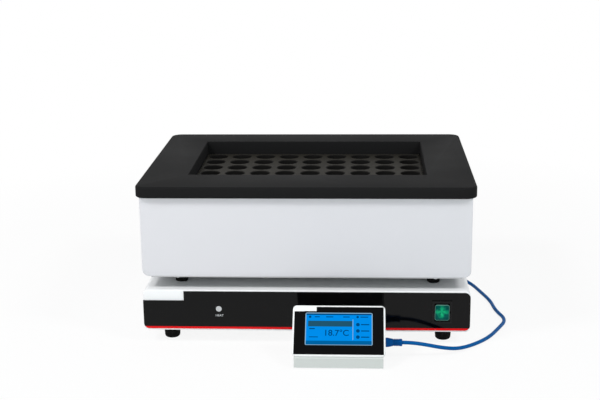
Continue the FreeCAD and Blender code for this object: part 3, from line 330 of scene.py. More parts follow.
bluePlug = coat(
    "bluePlug", (0.0, 0.085, 0.31), (0.0, 0.06, 0.24), 0.34, 0.46, 1200.0, 90.0, 0.12,
    Specular_IOR_Level=0.06,
)
blueJacket = coat(
    "blueJacket", (0.0, 0.10, 0.33), (0.0, 0.078, 0.27), 0.34, 0.46, 900.0, 40.0, 0.08,
    Specular_IOR_Level=0.06,
)
steelSheet = metal("steelSheet", (0.55, 0.56, 0.57), (0.42, 0.43, 0.44), 0.28, 0.45)
aluminium = metal("aluminium", (0.70, 0.71, 0.72), (0.56, 0.57, 0.58), 0.25, 0.4, 1000.0)
platedBrass = metal("platedBrass", (0.72, 0.55, 0.22), (0.55, 0.40, 0.14), 0.2, 0.35, 2000.0)
brightScrew = metal("brightScrew", (0.72, 0.73, 0.74), (0.55, 0.56, 0.57), 0.15, 0.3, 2500.0)


def makeGraphite():
    # faced slab with fine tool lines, ringed inside the wells, and darker inside them: painted shade
    look = {
        "web": (0.024, 0.022, 0.018, 1),
        "webDark": (0.013, 0.012, 0.0105, 1),
        "bore": (0.010, 0.0095, 0.009, 1),
        "topLevel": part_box("graphite_block")[1].z,
        "rimStart": 0.0004,
        "rimEnd": 0.0001,
        "speckle": 420.0,
        "cloud": 16.0,
        "rings": 420.0,
        "ringWaver": 0.6,
        "toolLines": 260.0,
        "lineWaver": 1.5,
        "bump": 0.12,
        "depth": 0.0002,
        "smooth": 0.45,
        "rough": 0.7,
        "gloss": 0.06,
    }
    material, tree, shader = startMaterial("graphite")
    place = addNode(tree, "ShaderNodeTexCoord")
    split = addNode(tree, "ShaderNodeSeparateXYZ")
    link(tree, place.outputs["Object"], split.inputs[0])
    speckle = addNode(tree, "ShaderNodeTexNoise", Scale=look["speckle"], Detail=5.0, Roughness=0.7)
    cloud = addNode(tree, "ShaderNodeTexNoise", Scale=look["cloud"], Detail=3.0)
    link(tree, place.outputs["Object"], speckle.inputs["Vector"])
    link(tree, place.outputs["Object"], cloud.inputs["Vector"])
    blend = maths(tree, "MULTIPLY", speckle.outputs["Fac"], cloud.outputs["Fac"])
    web = addNode(tree, "ShaderNodeMix", data_type="RGBA")
    link(tree, blend, web.inputs["Factor"])
    web.inputs["A"].default_value = look["web"]
    web.inputs["B"].default_value = look["webDark"]
    # below is nought down in the wells and one at the top face; deep down it gives the bore colour, which
    # is painted shade
    below = addNode(tree, "ShaderNodeMapRange")
    link(tree, split.outputs["Z"], below.inputs["Value"])
    below.inputs["From Min"].default_value = look["topLevel"] - look["rimStart"]
    below.inputs["From Max"].default_value = look["topLevel"] - look["rimEnd"]
    # inside the wells the colour turns to the darker bore colour: painted shade in the wells
    boreShadeMix = addNode(tree, "ShaderNodeMix", data_type="RGBA")
    link(tree, below.outputs["Result"], boreShadeMix.inputs["Factor"])
    boreShadeMix.inputs["A"].default_value = look["bore"]
    link(tree, web.outputs["Result"], boreShadeMix.inputs["B"])
    link(tree, boreShadeMix.outputs["Result"], shader.inputs["Base Color"])
    rings = addNode(tree, "ShaderNodeTexWave", bands_direction="Z", Scale=look["rings"])
    rings.inputs["Distortion"].default_value = look["ringWaver"]
    link(tree, place.outputs["Object"], rings.inputs["Vector"])
    lines = addNode(tree, "ShaderNodeTexWave", bands_direction="Y", Scale=look["toolLines"])
    lines.inputs["Distortion"].default_value = look["lineWaver"]
    link(tree, place.outputs["Object"], lines.inputs["Vector"])
    height = addNode(tree, "ShaderNodeMix", data_type="FLOAT")
    link(tree, below.outputs["Result"], height.inputs["Factor"])
    link(tree, rings.outputs["Fac"], height.inputs["A"])
    link(tree, lines.outputs["Fac"], height.inputs["B"])
    raised = addNode(tree, "ShaderNodeBump", Strength=look["bump"], Distance=look["depth"])
    link(tree, height.outputs["Result"], raised.inputs["Height"])
    link(tree, raised.outputs["Normal"], shader.inputs["Normal"])
    rough = addNode(tree, "ShaderNodeMapRange")
    link(tree, speckle.outputs["Fac"], rough.inputs["Value"])
    rough.inputs["To Min"].default_value = look["smooth"]
    rough.inputs["To Max"].default_value = look["rough"]
    link(tree, rough.outputs["Result"], shader.inputs["Roughness"])
    shader.inputs["Specular IOR Level"].default_value = look["gloss"]
    return material


def makeGlow(name, colour, dimColour, strength, scale=90.0):
    # a lit flat area whose brightness varies a little
    material, tree, shader = startMaterial(name)
    place = addNode(tree, "ShaderNodeTexCoord")
    uneven = addNode(tree, "ShaderNodeTexNoise", Scale=scale, Detail=2.0)
    link(tree, place.outputs["Object"], uneven.inputs["Vector"])
    mix = addNode(tree, "ShaderNodeMix", data_type="RGBA")
    link(tree, uneven.outputs["Fac"], mix.inputs["Factor"])
    mix.inputs["A"].default_value = (*colour, 1)
    mix.inputs["B"].default_value = (*dimColour, 1)
    link(tree, mix.outputs["Result"], shader.inputs["Emission Color"])
    shader.inputs["Emission Strength"].default_value = strength
    shader.inputs["Base Color"].default_value = (0.0, 0.0, 0.0, 1)
    shader.inputs["Specular IOR Level"].default_value = 0.0
    shader.inputs["Roughness"].default_value = 0.25
    return material


def makeLitRocker():
    # green lens: a four-pointed glow over the lamp, uneven body, and a pale rim round its corners, which
    # is a painted highlight
    low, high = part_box("power_rocker")
    look = {
        "middle": ((low.x + high.x) / 2, (low.z + high.z) / 2),
        "lamp": (-0.0005, 0.0012),
        "reach": 0.014,
        "halfWide": 0.0104,
        "halfHigh": 0.0123,
        "corner": 0.0028,
        "rimHighlightWidth": 0.0006,
        "dark": (0.0, 0.032, 0.032, 1),
        "body": (0.0, 0.062, 0.052, 1),
        "bright": (0.006, 0.34, 0.14, 1),
        # rim: colour of the painted highlight along the lens's outline
        "rim": (0.075, 0.17, 0.14, 1),
        "housing": (0.001, 0.001, 0.001, 1),
        "glow": 0.42,
        "points": 2.0,
        "sharpness": 2.5,
        "rayShare": 0.55,
        "ribs": 280.0,
        "ribShare": 0.3,
        "brightFrom": 0.85,
        "bodyFrom": 0.35,
        "gloss": 0.05,
        "rough": 0.2,
    }
    material, tree, shader = startMaterial("litRocker")
    place = addNode(tree, "ShaderNodeTexCoord")
    split = addNode(tree, "ShaderNodeSeparateXYZ")
    link(tree, place.outputs["Object"], split.inputs[0])
    x = maths(tree, "SUBTRACT", split.outputs["X"], look["middle"][0])
    z = maths(tree, "SUBTRACT", split.outputs["Z"], look["middle"][1])
    lampX = maths(tree, "SUBTRACT", x, look["lamp"][0])
    lampZ = maths(tree, "SUBTRACT", z, look["lamp"][1])
    turn = maths(tree, "MULTIPLY", maths(tree, "ARCTAN2", lampZ, lampX), look["points"])
    ray = maths(tree, "POWER", maths(tree, "ABSOLUTE", maths(tree, "COSINE", turn)), look["sharpness"])
    star = maths(tree, "MULTIPLY_ADD", ray, look["rayShare"], 1.0 - look["rayShare"])
    far = maths(tree, "DIVIDE", distance(tree, lampX, lampZ), look["reach"])
    near = maths(tree, "MAXIMUM", maths(tree, "SUBTRACT", 1.0, far), 0.0)
    ribs = addNode(tree, "ShaderNodeTexVoronoi", feature="F1", Scale=look["ribs"])
    link(tree, place.outputs["Object"], ribs.inputs["Vector"])
    glow = maths(tree, "MULTIPLY", near, star)
    light = maths(tree, "MULTIPLY_ADD", ribs.outputs["Distance"], look["ribShare"], glow)
    ramp = addNode(tree, "ShaderNodeValToRGB")
    link(tree, light, ramp.inputs["Fac"])
    ramp.color_ramp.elements[0].color = look["dark"]
    ramp.color_ramp.elements[1].color = look["bright"]
    ramp.color_ramp.elements[1].position = look["brightFrom"]
    ramp.color_ramp.elements.new(look["bodyFrom"]).color = look["body"]
    # a pale band along the lens's rounded outline, glowing with the lens: painted highlight
    outX = beyond(tree, x, look["halfWide"] - look["corner"])
    outZ = beyond(tree, z, look["halfHigh"] - look["corner"])
    edge = distance(tree, outX, outZ)
    onRimHighlight = maths(tree, "GREATER_THAN", edge, look["corner"] - look["rimHighlightWidth"])
    mix = addNode(tree, "ShaderNodeMix", data_type="RGBA")
    link(tree, onRimHighlight, mix.inputs["Factor"])
    link(tree, ramp.outputs["Color"], mix.inputs["A"])
    mix.inputs["B"].default_value = look["rim"]
    around = addNode(tree, "ShaderNodeMix", data_type="RGBA")
    link(tree, maths(tree, "GREATER_THAN", edge, look["corner"]), around.inputs["Factor"])
    link(tree, mix.outputs["Result"], around.inputs["A"])
    around.inputs["B"].default_value = look["housing"]
    link(tree, around.outputs["Result"], shader.inputs["Base Color"])
    link(tree, around.outputs["Result"], shader.inputs["Emission Color"])
    shader.inputs["Emission Strength"].default_value = look["glow"]
    shader.inputs["Specular IOR Level"].default_value = look["gloss"]
    shader.inputs["Roughness"].default_value = look["rough"]
    return material


graphite = makeGraphite()
litRocker = makeLitRocker()
clearPlastic = coat(
    "clearPlastic", (0.82, 0.86, 0.88), (0.72, 0.77, 0.80), 0.08, 0.16, 500.0, 90.0, 0.05,
    Transmission_Weight=0.55,
)
screenBlue = makeGlow("screenBlue", (0.0, 0.275, 0.86), (0.0, 0.255, 0.80), 1.0)
screenMark = makeGlow("screenMark", (0.0, 0.06, 0.20), (0.0, 0.07, 0.23), 1.0)
screenBar = makeGlow("screenBar", (0.012, 0.085, 0.15), (0.018, 0.095, 0.16), 1.0)
screenFoot = makeGlow("screenFoot", (0.0, 0.13, 0.38), (0.0, 0.12, 0.34), 1.0)
screenPale = makeGlow("screenPale", (0.35, 0.62, 0.85), (0.32, 0.58, 0.8), 0.8)
print("materials made")

nodeFinish = {
    "top_surround": blackCoat,
    "graphite_block": graphite,
    "heater_mat": siliconeMat,
    "clamp_plate": aluminium,
    "base_insulation": fibreBoard,
    "side_insulation": fibreBoard,
    "thermal_cutout": darkMould,
    "block_posts": steelSheet,
    "temperature_probe": steelSheet,
    "wiring_duct": steelSheet,
    "heater_wrap": whiteCoat,
    "heater_front_panel": whiteCoat,
    "heater_rear_panel": whiteCoat,
    "heater_bottom_cover": steelSheet,
    "spacer_feet": softRubber,
    "base_feet": softRubber,
    "base_cover": baseCoatPaintedLight,
    "base_tray": baseCoatPaintedLight,
    "base_front_plate": baseCoatPaintedLight,
    "front_fascia": glossBlack,
    "red_trim": redStripe,
    "heat_indicator": greyLens,
    "indicator_holder": darkMould,
    "switch_housing": switchBlack,
    "switch_terminals": platedBrass,
    "rocker_lamp": greyLens,
    "power_rocker": litRocker,
    "base_rear_panel": baseCoatPaintedLight,
    "mains_inlet": darkMould,
    "inlet_pins": platedBrass,
    "data_socket": darkMould,
    "board_standoffs": platedBrass,
    "control_board": boardGreen,
    "power_supply": darkMould,
    "board_parts": darkMould,
    "relay_heat_sink": aluminium,
    "solid_state_relay": darkMould,
    "terminal_block": paleShell,
    "controller_case": paleShell,
    "controller_bezel": whiteShell,
    "controller_fascia": faceGloss,
    "touch_panel": touchGlass,
    "lcd_module": darkMould,
    "screen_spacers": platedBrass,
    "controller_board": boardGreen,
    "controller_jack": darkMould,
    "controller_pads": softRubber,
    "controller_plug": clearPlastic,
    "base_plug": clearPlastic,
    "controller_boot": bluePlug,
    "base_boot": bluePlug,
    "patch_cable": blueJacket,
}
for node, finish in nodeFinish.items():
    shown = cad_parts[node]
    shown.data.materials.clear()
    shown.data.materials.append(finish)
print("finishes given to", len(nodeFinish), "parts")


# Small helpers for modelling by hand

sameSpot = 0.00002  # closer than this is the same place


def clearSelection():
    if bpy.context.object and bpy.context.object.mode != "OBJECT":
        bpy.ops.object.mode_set(mode="OBJECT")
    bpy.ops.object.select_all(action="DESELECT")


def choose(piece):
    clearSelection()
    piece.select_set(True)
    bpy.context.view_layer.objects.active = piece


def settle(piece, name, material, nodes=(), body="unit", smooth=38):
    # applies the place, gives the finish, and lets the piece ride with its body
    choose(piece)
    bpy.ops.object.transform_apply(location=True, rotation=True, scale=True)
    bpy.ops.object.shade_smooth_by_angle(angle=math.radians(smooth))
    piece.name = name
    piece.data.name = name
    piece.data.materials.clear()
    piece.data.materials.append(material)
    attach(piece, body)
    if nodes:
        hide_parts(*nodes)
    return piece


def joinAll(parts):
    clearSelection()
    for part in parts:
        part.select_set(True)
    bpy.context.view_layer.objects.active = parts[0]
    if len(parts) > 1:
        bpy.ops.object.join()
    return parts[0]


def copyTo(piece, place):
    # a copy with a mesh of its own
    made = piece.copy()
    made.data = piece.data.copy()
    bpy.context.scene.collection.objects.link(made)
    made.matrix_world = place
    return made


def startCube(low, high):
    clearSelection()
    bpy.ops.mesh.primitive_cube_add(size=1, location=[(a + b) / 2 for a, b in zip(low, high)])
    made = bpy.context.object
    made.scale = [b - a for a, b in zip(low, high)]
    bpy.ops.object.transform_apply(location=True, rotation=True, scale=True)
    return made


def startRound(radius, low, high, sides):
    # a round bar standing on Z
    clearSelection()
    bpy.ops.mesh.primitive_cylinder_add(
        vertices=sides, radius=radius, depth=high - low, location=(0, 0, (low + high) / 2)
    )
    made = bpy.context.object
    bpy.ops.object.transform_apply(location=True, rotation=True, scale=True)
    return made


def level(axis, value):
    # true for an edge or face that lies wholly at one height along an axis
    return lambda ends: all(abs(end[axis] - value) < sameSpot for end in ends)


def along(axis):
    # true for an edge that runs straight along an axis
    return lambda ends: all(abs(ends[0][i] - ends[1][i]) < sameSpot for i in range(3) if i != axis)


def pick(piece, kind, test):
    # opens edit mode with only the edges or faces that pass the test selected
    choose(piece)
    bpy.context.tool_settings.mesh_select_mode = (False, kind == "EDGE", kind == "FACE")
    mesh = piece.data
    for part in (*mesh.vertices, *mesh.edges, *mesh.polygons):
        part.select = False
    for part in mesh.edges if kind == "EDGE" else mesh.polygons:
        part.select = test([mesh.vertices[i].co for i in part.vertices])
    bpy.ops.object.mode_set(mode="EDIT")


def roundEdges(piece, test, size, segments=4):
    pick(piece, "EDGE", test)
    bpy.ops.mesh.bevel(offset=size, segments=segments, affect="EDGES")
    bpy.ops.object.mode_set(mode="OBJECT")


def cutWith(piece, tool, operation="DIFFERENCE"):
    choose(piece)
    modifier = piece.modifiers.new("cut", "BOOLEAN")
    modifier.operation = operation
    modifier.solver = "EXACT"
    modifier.object = tool
    bpy.ops.object.modifier_apply(modifier=modifier.name)
    bpy.data.objects.remove(tool, do_unlink=True)


# Cable ends: clear plug with a latch, moulded boot with relief ribs

cableEnd = {
    "start": 0.003,
    "hood": 0.0035,
    "corner": 0.0022,
    "taper": 0.0075,
    "neckShare": 0.78,
    "ribs": 4,
    "ribLong": 0.0017,
    "grooveLong": 0.0009,
    "grooveShare": 0.84,
    "tail": 0.0026,
    "plugRound": 0.0005,
    "latchWide": 0.0062,
    "latchThick": 0.0009,
    "latchStart": 0.002,
    "latchRound": 0.0003,
    "hoodRound": 0.0006,
    "grooveRamp": 0.0002,
    "tailRound": 0.0006,
    "tailShare": 0.86,
    "sunk": 0.0002,
}


def grow(step, share, height):
    # extrudes the picked end face along X, then scales it about the cable's own line
    bpy.ops.mesh.extrude_region_move(TRANSFORM_OT_translate={"value": (step, 0, 0)})
    if share != 1:
        bpy.ops.transform.resize(value=(1, share, share), center_override=(height + step, 0, 0))
    return height + step


def makeCableEnd(label, axis):
    # drawn along X from the socket's mouth, then turned to its socket
    start, ramp, sunk = cableEnd["start"], cableEnd["grooveRamp"], cableEnd["sunk"]
    low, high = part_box(label + "_boot")
    mouth = (low + high) / 2
    mouth[axis] = low[axis] - start
    place = Matrix.Translation(mouth) @ Matrix.Rotation(math.pi / 2 if axis == 1 else 0, 4, "Z")
    halfWide, halfHigh = (high[1 - axis] - low[1 - axis]) / 2, (high.z - low.z) / 2
    at = start + cableEnd["hood"]
    boot = startCube((start, -halfWide, -halfHigh), (at, halfWide, halfHigh))
    roundEdges(boot, along(0), cableEnd["corner"], 4)
    roundEdges(boot, level(0, start), cableEnd["hoodRound"], 2)
    pick(boot, "FACE", level(0, at))
    at = grow(cableEnd["taper"], cableEnd["neckShare"], at)
    for _ in range(cableEnd["ribs"]):
        at = grow(ramp, cableEnd["grooveShare"], at)
        at = grow(cableEnd["grooveLong"] - 2 * ramp, 1, at)
        at = grow(ramp, 1 / cableEnd["grooveShare"], at)
        at = grow(cableEnd["ribLong"], 1, at)
    at = grow(cableEnd["tail"] - cableEnd["tailRound"], 1, at)
    grow(cableEnd["tailRound"], cableEnd["tailShare"], at)
    bpy.ops.object.mode_set(mode="OBJECT")
    boot.matrix_world = place
    settle(boot, label + "Boot", bluePlug, [label + "_boot"])
    low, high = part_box(label + "_plug")
    across, rise = (high[1 - axis] - low[1 - axis]) / 2, (high.z - low.z) / 2
    back = low[axis] - mouth[axis]
    plug = startCube((back, -across, -rise), (start, across, rise))
    roundEdges(plug, lambda ends: True, cableEnd["plugRound"], 2)
    halfLatch, latchTop = cableEnd["latchWide"] / 2, rise + cableEnd["latchThick"]
    latch = startCube(
        (back + cableEnd["latchStart"], -halfLatch, rise - sunk),
        (start - sunk, halfLatch, latchTop),
    )
    roundEdges(latch, level(2, latchTop), cableEnd["latchRound"], 2)
    cutWith(plug, latch, "UNION")
    plug.matrix_world = place
    settle(plug, label + "Plug", clearPlastic, [label + "_plug"])
    return boot, plug


cableEnds = [*makeCableEnd("controller", 0), *makeCableEnd("base", 1)]
print("cable ends made")


# Patch cable


def layCable():
    curve = bpy.data.curves.new("patchLead", "CURVE")
    curve.dimensions = "3D"
    line = curve.splines.new("NURBS")
    line.points.add(len(cable["route"]) - 1)
    for point, place in zip(line.points, cable["route"]):
        point.co = (*place, 1)
    line.order_u = cable["order"]
    line.use_endpoint_u = True
    curve.resolution_u = cable["steps"]
    curve.bevel_depth = cable["diameter"] / 2
    curve.bevel_resolution = cable["sideSteps"]
    curve.use_fill_caps = True
    lead = bpy.data.objects.new("patchLead", curve)
    bpy.context.scene.collection.objects.link(lead)
    curve.materials.append(blueJacket)
    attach(lead, "unit")
    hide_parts("patch_cable")


layCable()
print("patch cable laid")


# Top surround: deck with a rounded rim, hollow below, and a skirt round the well block

surround = {
    "corner": 0.017,
    "topRound": 0.0028,
    "footRound": 0.0018,
    "wall": 0.003,
    "blockGap": 0.001,
    "mouthRound": 0.0012,
    "cornerSteps": 14,
    "mouthMargin": 0.0001,
}


def makeSurround():
    low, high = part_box("top_surround")
    blockLow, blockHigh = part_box("graphite_block")
    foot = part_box("heater_front_panel")[1].z
    wall, steps, margin = surround["wall"], surround["cornerSteps"], surround["mouthMargin"]
    deck = startCube((low.x, low.y, foot), high)
    roundEdges(deck, along(2), surround["corner"], steps)
    roundEdges(deck, level(2, high.z), surround["topRound"], 5)
    roundEdges(deck, level(2, foot), surround["footRound"], 3)
    inside = Vector((wall, wall, wall))
    hollow = startCube(Vector((low.x, low.y, foot - 2 * wall)) + inside, high - inside)
    roundEdges(hollow, along(2), surround["corner"] - wall, steps)
    cutWith(deck, hollow)
    gap = surround["blockGap"]
    mouthLow = Vector((blockLow.x - gap, blockLow.y - gap, low.z - wall))
    mouthHigh = Vector((blockHigh.x + gap, blockHigh.y + gap, high.z + wall))
    around = Vector((wall, wall, 0))
    skirtLow, skirtHigh = mouthLow - around, mouthHigh + around
    skirtLow.z, skirtHigh.z = low.z, high.z - wall / 2
    cutWith(deck, startCube(skirtLow, skirtHigh), "UNION")
    cutWith(deck, startCube(mouthLow, mouthHigh))
    roundEdges(
        deck,
        lambda ends: all(
            abs(end.z - high.z) < sameSpot
            and abs(end.x) < mouthHigh.x + margin
            and mouthLow.y - margin < end.y < mouthHigh.y + margin
            for end in ends
        ),
        surround["mouthRound"],
        3,
    )
    settle(deck, "topSurround", blackCoat, ["top_surround"], smooth=45)


makeSurround()
print("surround made")


# Well block: a faced slab, cut by one tool that is copied over the grid of wells

wells = {
    "columns": 9,
    "rows": 6,
    "pitchAcross": 0.039,
    "pitchDeep": 0.038,
    "bore": 0.015,
    "deep": 0.064,
    "chamfer": 0.0012,
    "sides": 48,
    "slabRound": 0.0008,
    "toolAbove": 0.004,
}


def makeWellBlock():
    low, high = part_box("graphite_block")
    slab = startCube(low, high)
    roundEdges(slab, lambda ends: True, wells["slabRound"], 2)
    top, chamfer = high.z, wells["chamfer"]
    tool = startRound(wells["bore"], top - wells["deep"], top - chamfer, wells["sides"])
    pick(tool, "FACE", level(2, top - chamfer))
    bpy.ops.mesh.extrude_region_move(TRANSFORM_OT_translate={"value": (0, 0, chamfer)})
    wider = (wells["bore"] + chamfer) / wells["bore"]
    bpy.ops.transform.resize(value=(wider, wider, 1), center_override=(0, 0, top))
    bpy.ops.mesh.extrude_region_move(TRANSFORM_OT_translate={"value": (0, 0, wells["toolAbove"])})
    bpy.ops.object.mode_set(mode="OBJECT")
    middle = (low + high) / 2
    pitchX, pitchY = wells["pitchAcross"], wells["pitchDeep"]
    firstX = middle.x - (wells["columns"] - 1) / 2 * pitchX
    firstY = middle.y - (wells["rows"] - 1) / 2 * pitchY
    cutters = [
        copyTo(tool, Matrix.Translation((firstX + column * pitchX, firstY + row * pitchY, 0)))
        for column in range(wells["columns"])
        for row in range(wells["rows"])
    ]
    bpy.data.objects.remove(tool, do_unlink=True)
    cutWith(slab, joinAll(cutters))
    settle(slab, "wellBlock", graphite, ["graphite_block"], smooth=30)


makeWellBlock()
print("well block made")


# White fronts: pressed panels with rounded corners and soft rims

fronts = {
    "heaterCorner": 0.010,
    "heaterRim": 0.0014,
    "baseCorner": 0.008,
    "baseRim": 0.0019,
    "holeMargin": 0.0004,
    "toolPast": 0.005,
}


def makeFronts():
    low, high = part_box("heater_front_panel")
    panel = startCube(low, high)
    roundEdges(panel, lambda ends: along(1)(ends) and level(2, low.z)(ends), fronts["heaterCorner"], 12)
    roundEdges(panel, level(1, low.y), fronts["heaterRim"], 4)
    settle(panel, "heaterFront", whiteCoat, ["heater_front_panel"])
    low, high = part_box("base_front_plate")
    plate = startCube(low, high)
    roundEdges(plate, along(1), fronts["baseCorner"], 10)
    roundEdges(plate, level(1, low.y), fronts["baseRim"], 4)
    margin, past = fronts["holeMargin"], fronts["toolPast"]
    for node in ("switch_housing", "indicator_holder"):
        holeLow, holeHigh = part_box(node)
        cutWith(
            plate,
            startCube(
                (holeLow.x + margin, low.y - past, holeLow.z + margin),
                (holeHigh.x - margin, high.y + past, holeHigh.z - margin),
            ),
        )
    settle(plate, "baseFront", baseCoatPaintedLight, ["base_front_plate"])


makeFronts()
print("fronts made")


# Rubber feet and spacers: turned shapes with a screw recess below

feet = {
    "base_feet": {
        "name": "baseFeet",
        "radius": 0.0122,
        "taper": 0.91,
        "round": 0.0034,
        "recess": 0.0036,
    },
    "spacer_feet": {
        "name": "spacerFeet",
        "radius": 0.0100,
        "taper": 0.94,
        "round": 0.0020,
        "recess": 0.0030,
    },
}
footSides, footTopRound = 40, 0.0005


def makeFeet(node, values):
    low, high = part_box(node)
    radius, taper = values["radius"], values["taper"]
    first = startRound(radius, low.z, high.z, footSides)
    roundEdges(first, level(2, high.z), footTopRound, 2)
    pick(first, "FACE", level(2, low.z))
    bpy.ops.transform.resize(value=(taper, taper, 1), center_override=(0, 0, low.z))
    bpy.ops.object.mode_set(mode="OBJECT")
    roundEdges(first, level(2, low.z), values["round"], 6)
    pick(first, "FACE", level(2, low.z))
    bpy.ops.mesh.inset(thickness=radius * taper - values["round"] - values["recess"])
    bpy.ops.mesh.extrude_region_move(TRANSFORM_OT_translate={"value": (0, 0, values["recess"])})
    bpy.ops.object.mode_set(mode="OBJECT")
    copies = [
        copyTo(first, Matrix.Translation((x, y, 0)))
        for x in (low.x + radius, high.x - radius)
        for y in (low.y + radius, high.y - radius)
    ]
    bpy.data.objects.remove(first, do_unlink=True)
    settle(joinAll(copies), values["name"], softRubber, [node])


for node, values in feet.items():
    makeFeet(node, values)
print("feet made")


# Screws: one pan head with a cross recess, copied to each place that a cover is fixed

screw = {
    "head": 0.0032,
    "rise": 0.0019,
    "round": 0.0011,
    "slotLong": 0.0036,
    "slotWide": 0.0009,
    "slotDeep": 0.0010,
    "frontColumns": (-0.1872, -0.0586, 0.0579, 0.1872),
    "coverInset": 0.0048,
    "cornerInset": 0.011,
    "tray": ((-0.150, -0.105), (0.150, -0.105), (-0.150, 0.195), (0.150, 0.195)),
    "sides": 24,
}


def makeScrews():
    rise = screw["rise"]
    first = startRound(screw["head"], 0, rise, screw["sides"])
    roundEdges(first, level(2, rise), screw["round"], 4)
    long, wide = screw["slotLong"] / 2, screw["slotWide"] / 2
    for x, y in ((long, wide), (wide, long)):
        cutWith(first, startCube((-x, -y, rise - screw["slotDeep"]), (x, y, rise * 2)))
    down, back = Vector((0, 0, -1)), Vector((0, 1, 0))
    low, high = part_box("heater_bottom_cover")
    inset = screw["coverInset"]
    spots = [((x, y, low.z), down) for x in screw["frontColumns"] for y in (low.y + inset, high.y - inset)]
    inset = screw["cornerInset"]
    for node in ("heater_rear_panel", "base_rear_panel"):
        low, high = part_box(node)
        spots += [
            ((x, high.y, z), back)
            for x in (low.x + inset, 0, high.x - inset)
            for z in (low.z + inset, high.z - inset)
        ]
    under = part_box("base_tray")[0].z
    spots += [((x, y, under), down) for x, y in screw["tray"]]
    copies = [
        copyTo(first, Matrix.Translation(place) @ way.to_track_quat("Z", "Y").to_matrix().to_4x4())
        for place, way in spots
    ]
    bpy.data.objects.remove(first, do_unlink=True)
    settle(joinAll(copies), "coverScrews", brightScrew)
    print(len(spots), "screws placed")


makeScrews()


# The controller's face: white bezel with soft edges, and the lit picture on its touch panel

face = {
    "foot": (0.0492, -0.2315, 0.019),
    "tilt": 45.0,
    "halfWide": 0.065,
    "long": 0.077,
    "wall": 0.0025,
    "corner": 0.006,
    "rimRound": 0.0012,
    "rim": 0.0024,
    "seat": 0.001,
    "notch": (0.031, 0.007),
    "touch": (-0.049, 0.01455, 0.049, 0.06805),
    "glassDepth": -0.001,
    "window": (-0.047, 0.047, 0.01655, 0.06605),
    "toolPast": 0.01,
}
faceFrame = Matrix.Translation(face["foot"]) @ Matrix.Rotation(math.radians(face["tilt"]), 4, "X")


def makeBezel():
    half, rim, seat = face["halfWide"], face["rim"], face["seat"]
    plate = startCube((-half, 0, -face["wall"]), (half, face["long"], 0))
    roundEdges(plate, along(2), face["corner"], 10)
    roundEdges(plate, level(2, 0), face["rimRound"], 4)
    acrossStep, alongStep = face["notch"]
    top = face["long"] - rim
    left, right = -half + rim, half - rim
    cutWith(plate, startCube((left, rim, -seat), (right, top - alongStep, seat)))
    cutWith(plate, startCube((left + acrossStep, top - alongStep - rim, -seat), (right, top, seat)))
    left, low, right, high = face["touch"]
    past = face["toolPast"]
    cutWith(plate, startCube((left, low, -past), (right, high, past)))
    plate.matrix_world = faceFrame
    settle(plate, "controllerBezel", whiteShell, ["controller_bezel"])


makeBezel()
print("bezel made")


def patch(low, high, height, corner=0.0):
    # a flat patch in the face's own frame, with rounded corners if asked
    clearSelection()
    (left, foot), (right, top) = low, high
    bpy.ops.mesh.primitive_plane_add(size=1, location=((left + right) / 2, (foot + top) / 2, height))
    made = bpy.context.object
    made.scale = (right - left, top - foot, 1)
    bpy.ops.object.transform_apply(location=True, rotation=True, scale=True)
    if corner:
        bpy.ops.object.mode_set(mode="EDIT")
        bpy.ops.mesh.select_all(action="SELECT")
        bpy.ops.mesh.bevel(offset=corner, segments=5, affect="VERTICES")
        bpy.ops.object.mode_set(mode="OBJECT")
    return made


def disc(centre, radius, height):
    clearSelection()
    bpy.ops.mesh.primitive_circle_add(
        vertices=24, radius=radius, fill_type="NGON", location=(centre[0], centre[1], height)
    )
    made = bpy.context.object
    bpy.ops.object.transform_apply(location=True, rotation=True, scale=True)
    return made


def words(text, size, at, height, weight=0.012):
    clearSelection()
    bpy.ops.object.text_add(location=(at[0], at[1], height))
    made = bpy.context.object
    made.data.body = text
    made.data.size = size
    made.data.align_x = "CENTER"
    made.data.offset = size * weight
    bpy.ops.object.convert(target="MESH")
    made = bpy.context.object
    bpy.ops.object.transform_apply(location=True, rotation=True, scale=True)
    return made


def onFace(parts, name, material):
    whole = joinAll(parts)
    whole.matrix_world = faceFrame
    return settle(whole, name, material)


# What the display shows: a bar, a temperature, and plain marks where its small fields are

picture = {
    "layer": 0.00005,
    "corner": 0.0025,
    "rim": 0.0011,
    "titleBar": ((-0.0430, 0.0450), (0.0186, 0.0536)),
    "footTop": 0.0235,
    "headDeep": 0.0034,
    "divider": ((0.0192, 0.0250), (0.0200, 0.0560)),
    "reading": "18.7°C",
    "readingSize": 0.0126,
    "readingAt": (-0.0035, 0.0312),
    "keyLevels": (0.0482, 0.0386, 0.0293),
    "keyAcross": 0.0266,
    "keyRadius": 0.0026,
    "keyMark": (0.0310, 0.0425, 0.0008),
    "headDots": ((-0.0405, 0.0597), (0.0262, 0.0597)),
    "headDotRadius": 0.0018,
    "headMarks": ((-0.0340, -0.0270), (-0.0180, -0.0080), (0.0060, 0.0150), (0.0300, 0.0410)),
    "headMarkLevels": (0.0590, 0.0604),
    "sideMarks": (((-0.0415, 0.0408), (-0.0335, 0.0424)), ((-0.0415, 0.0285), (-0.0290, 0.0297))),
}


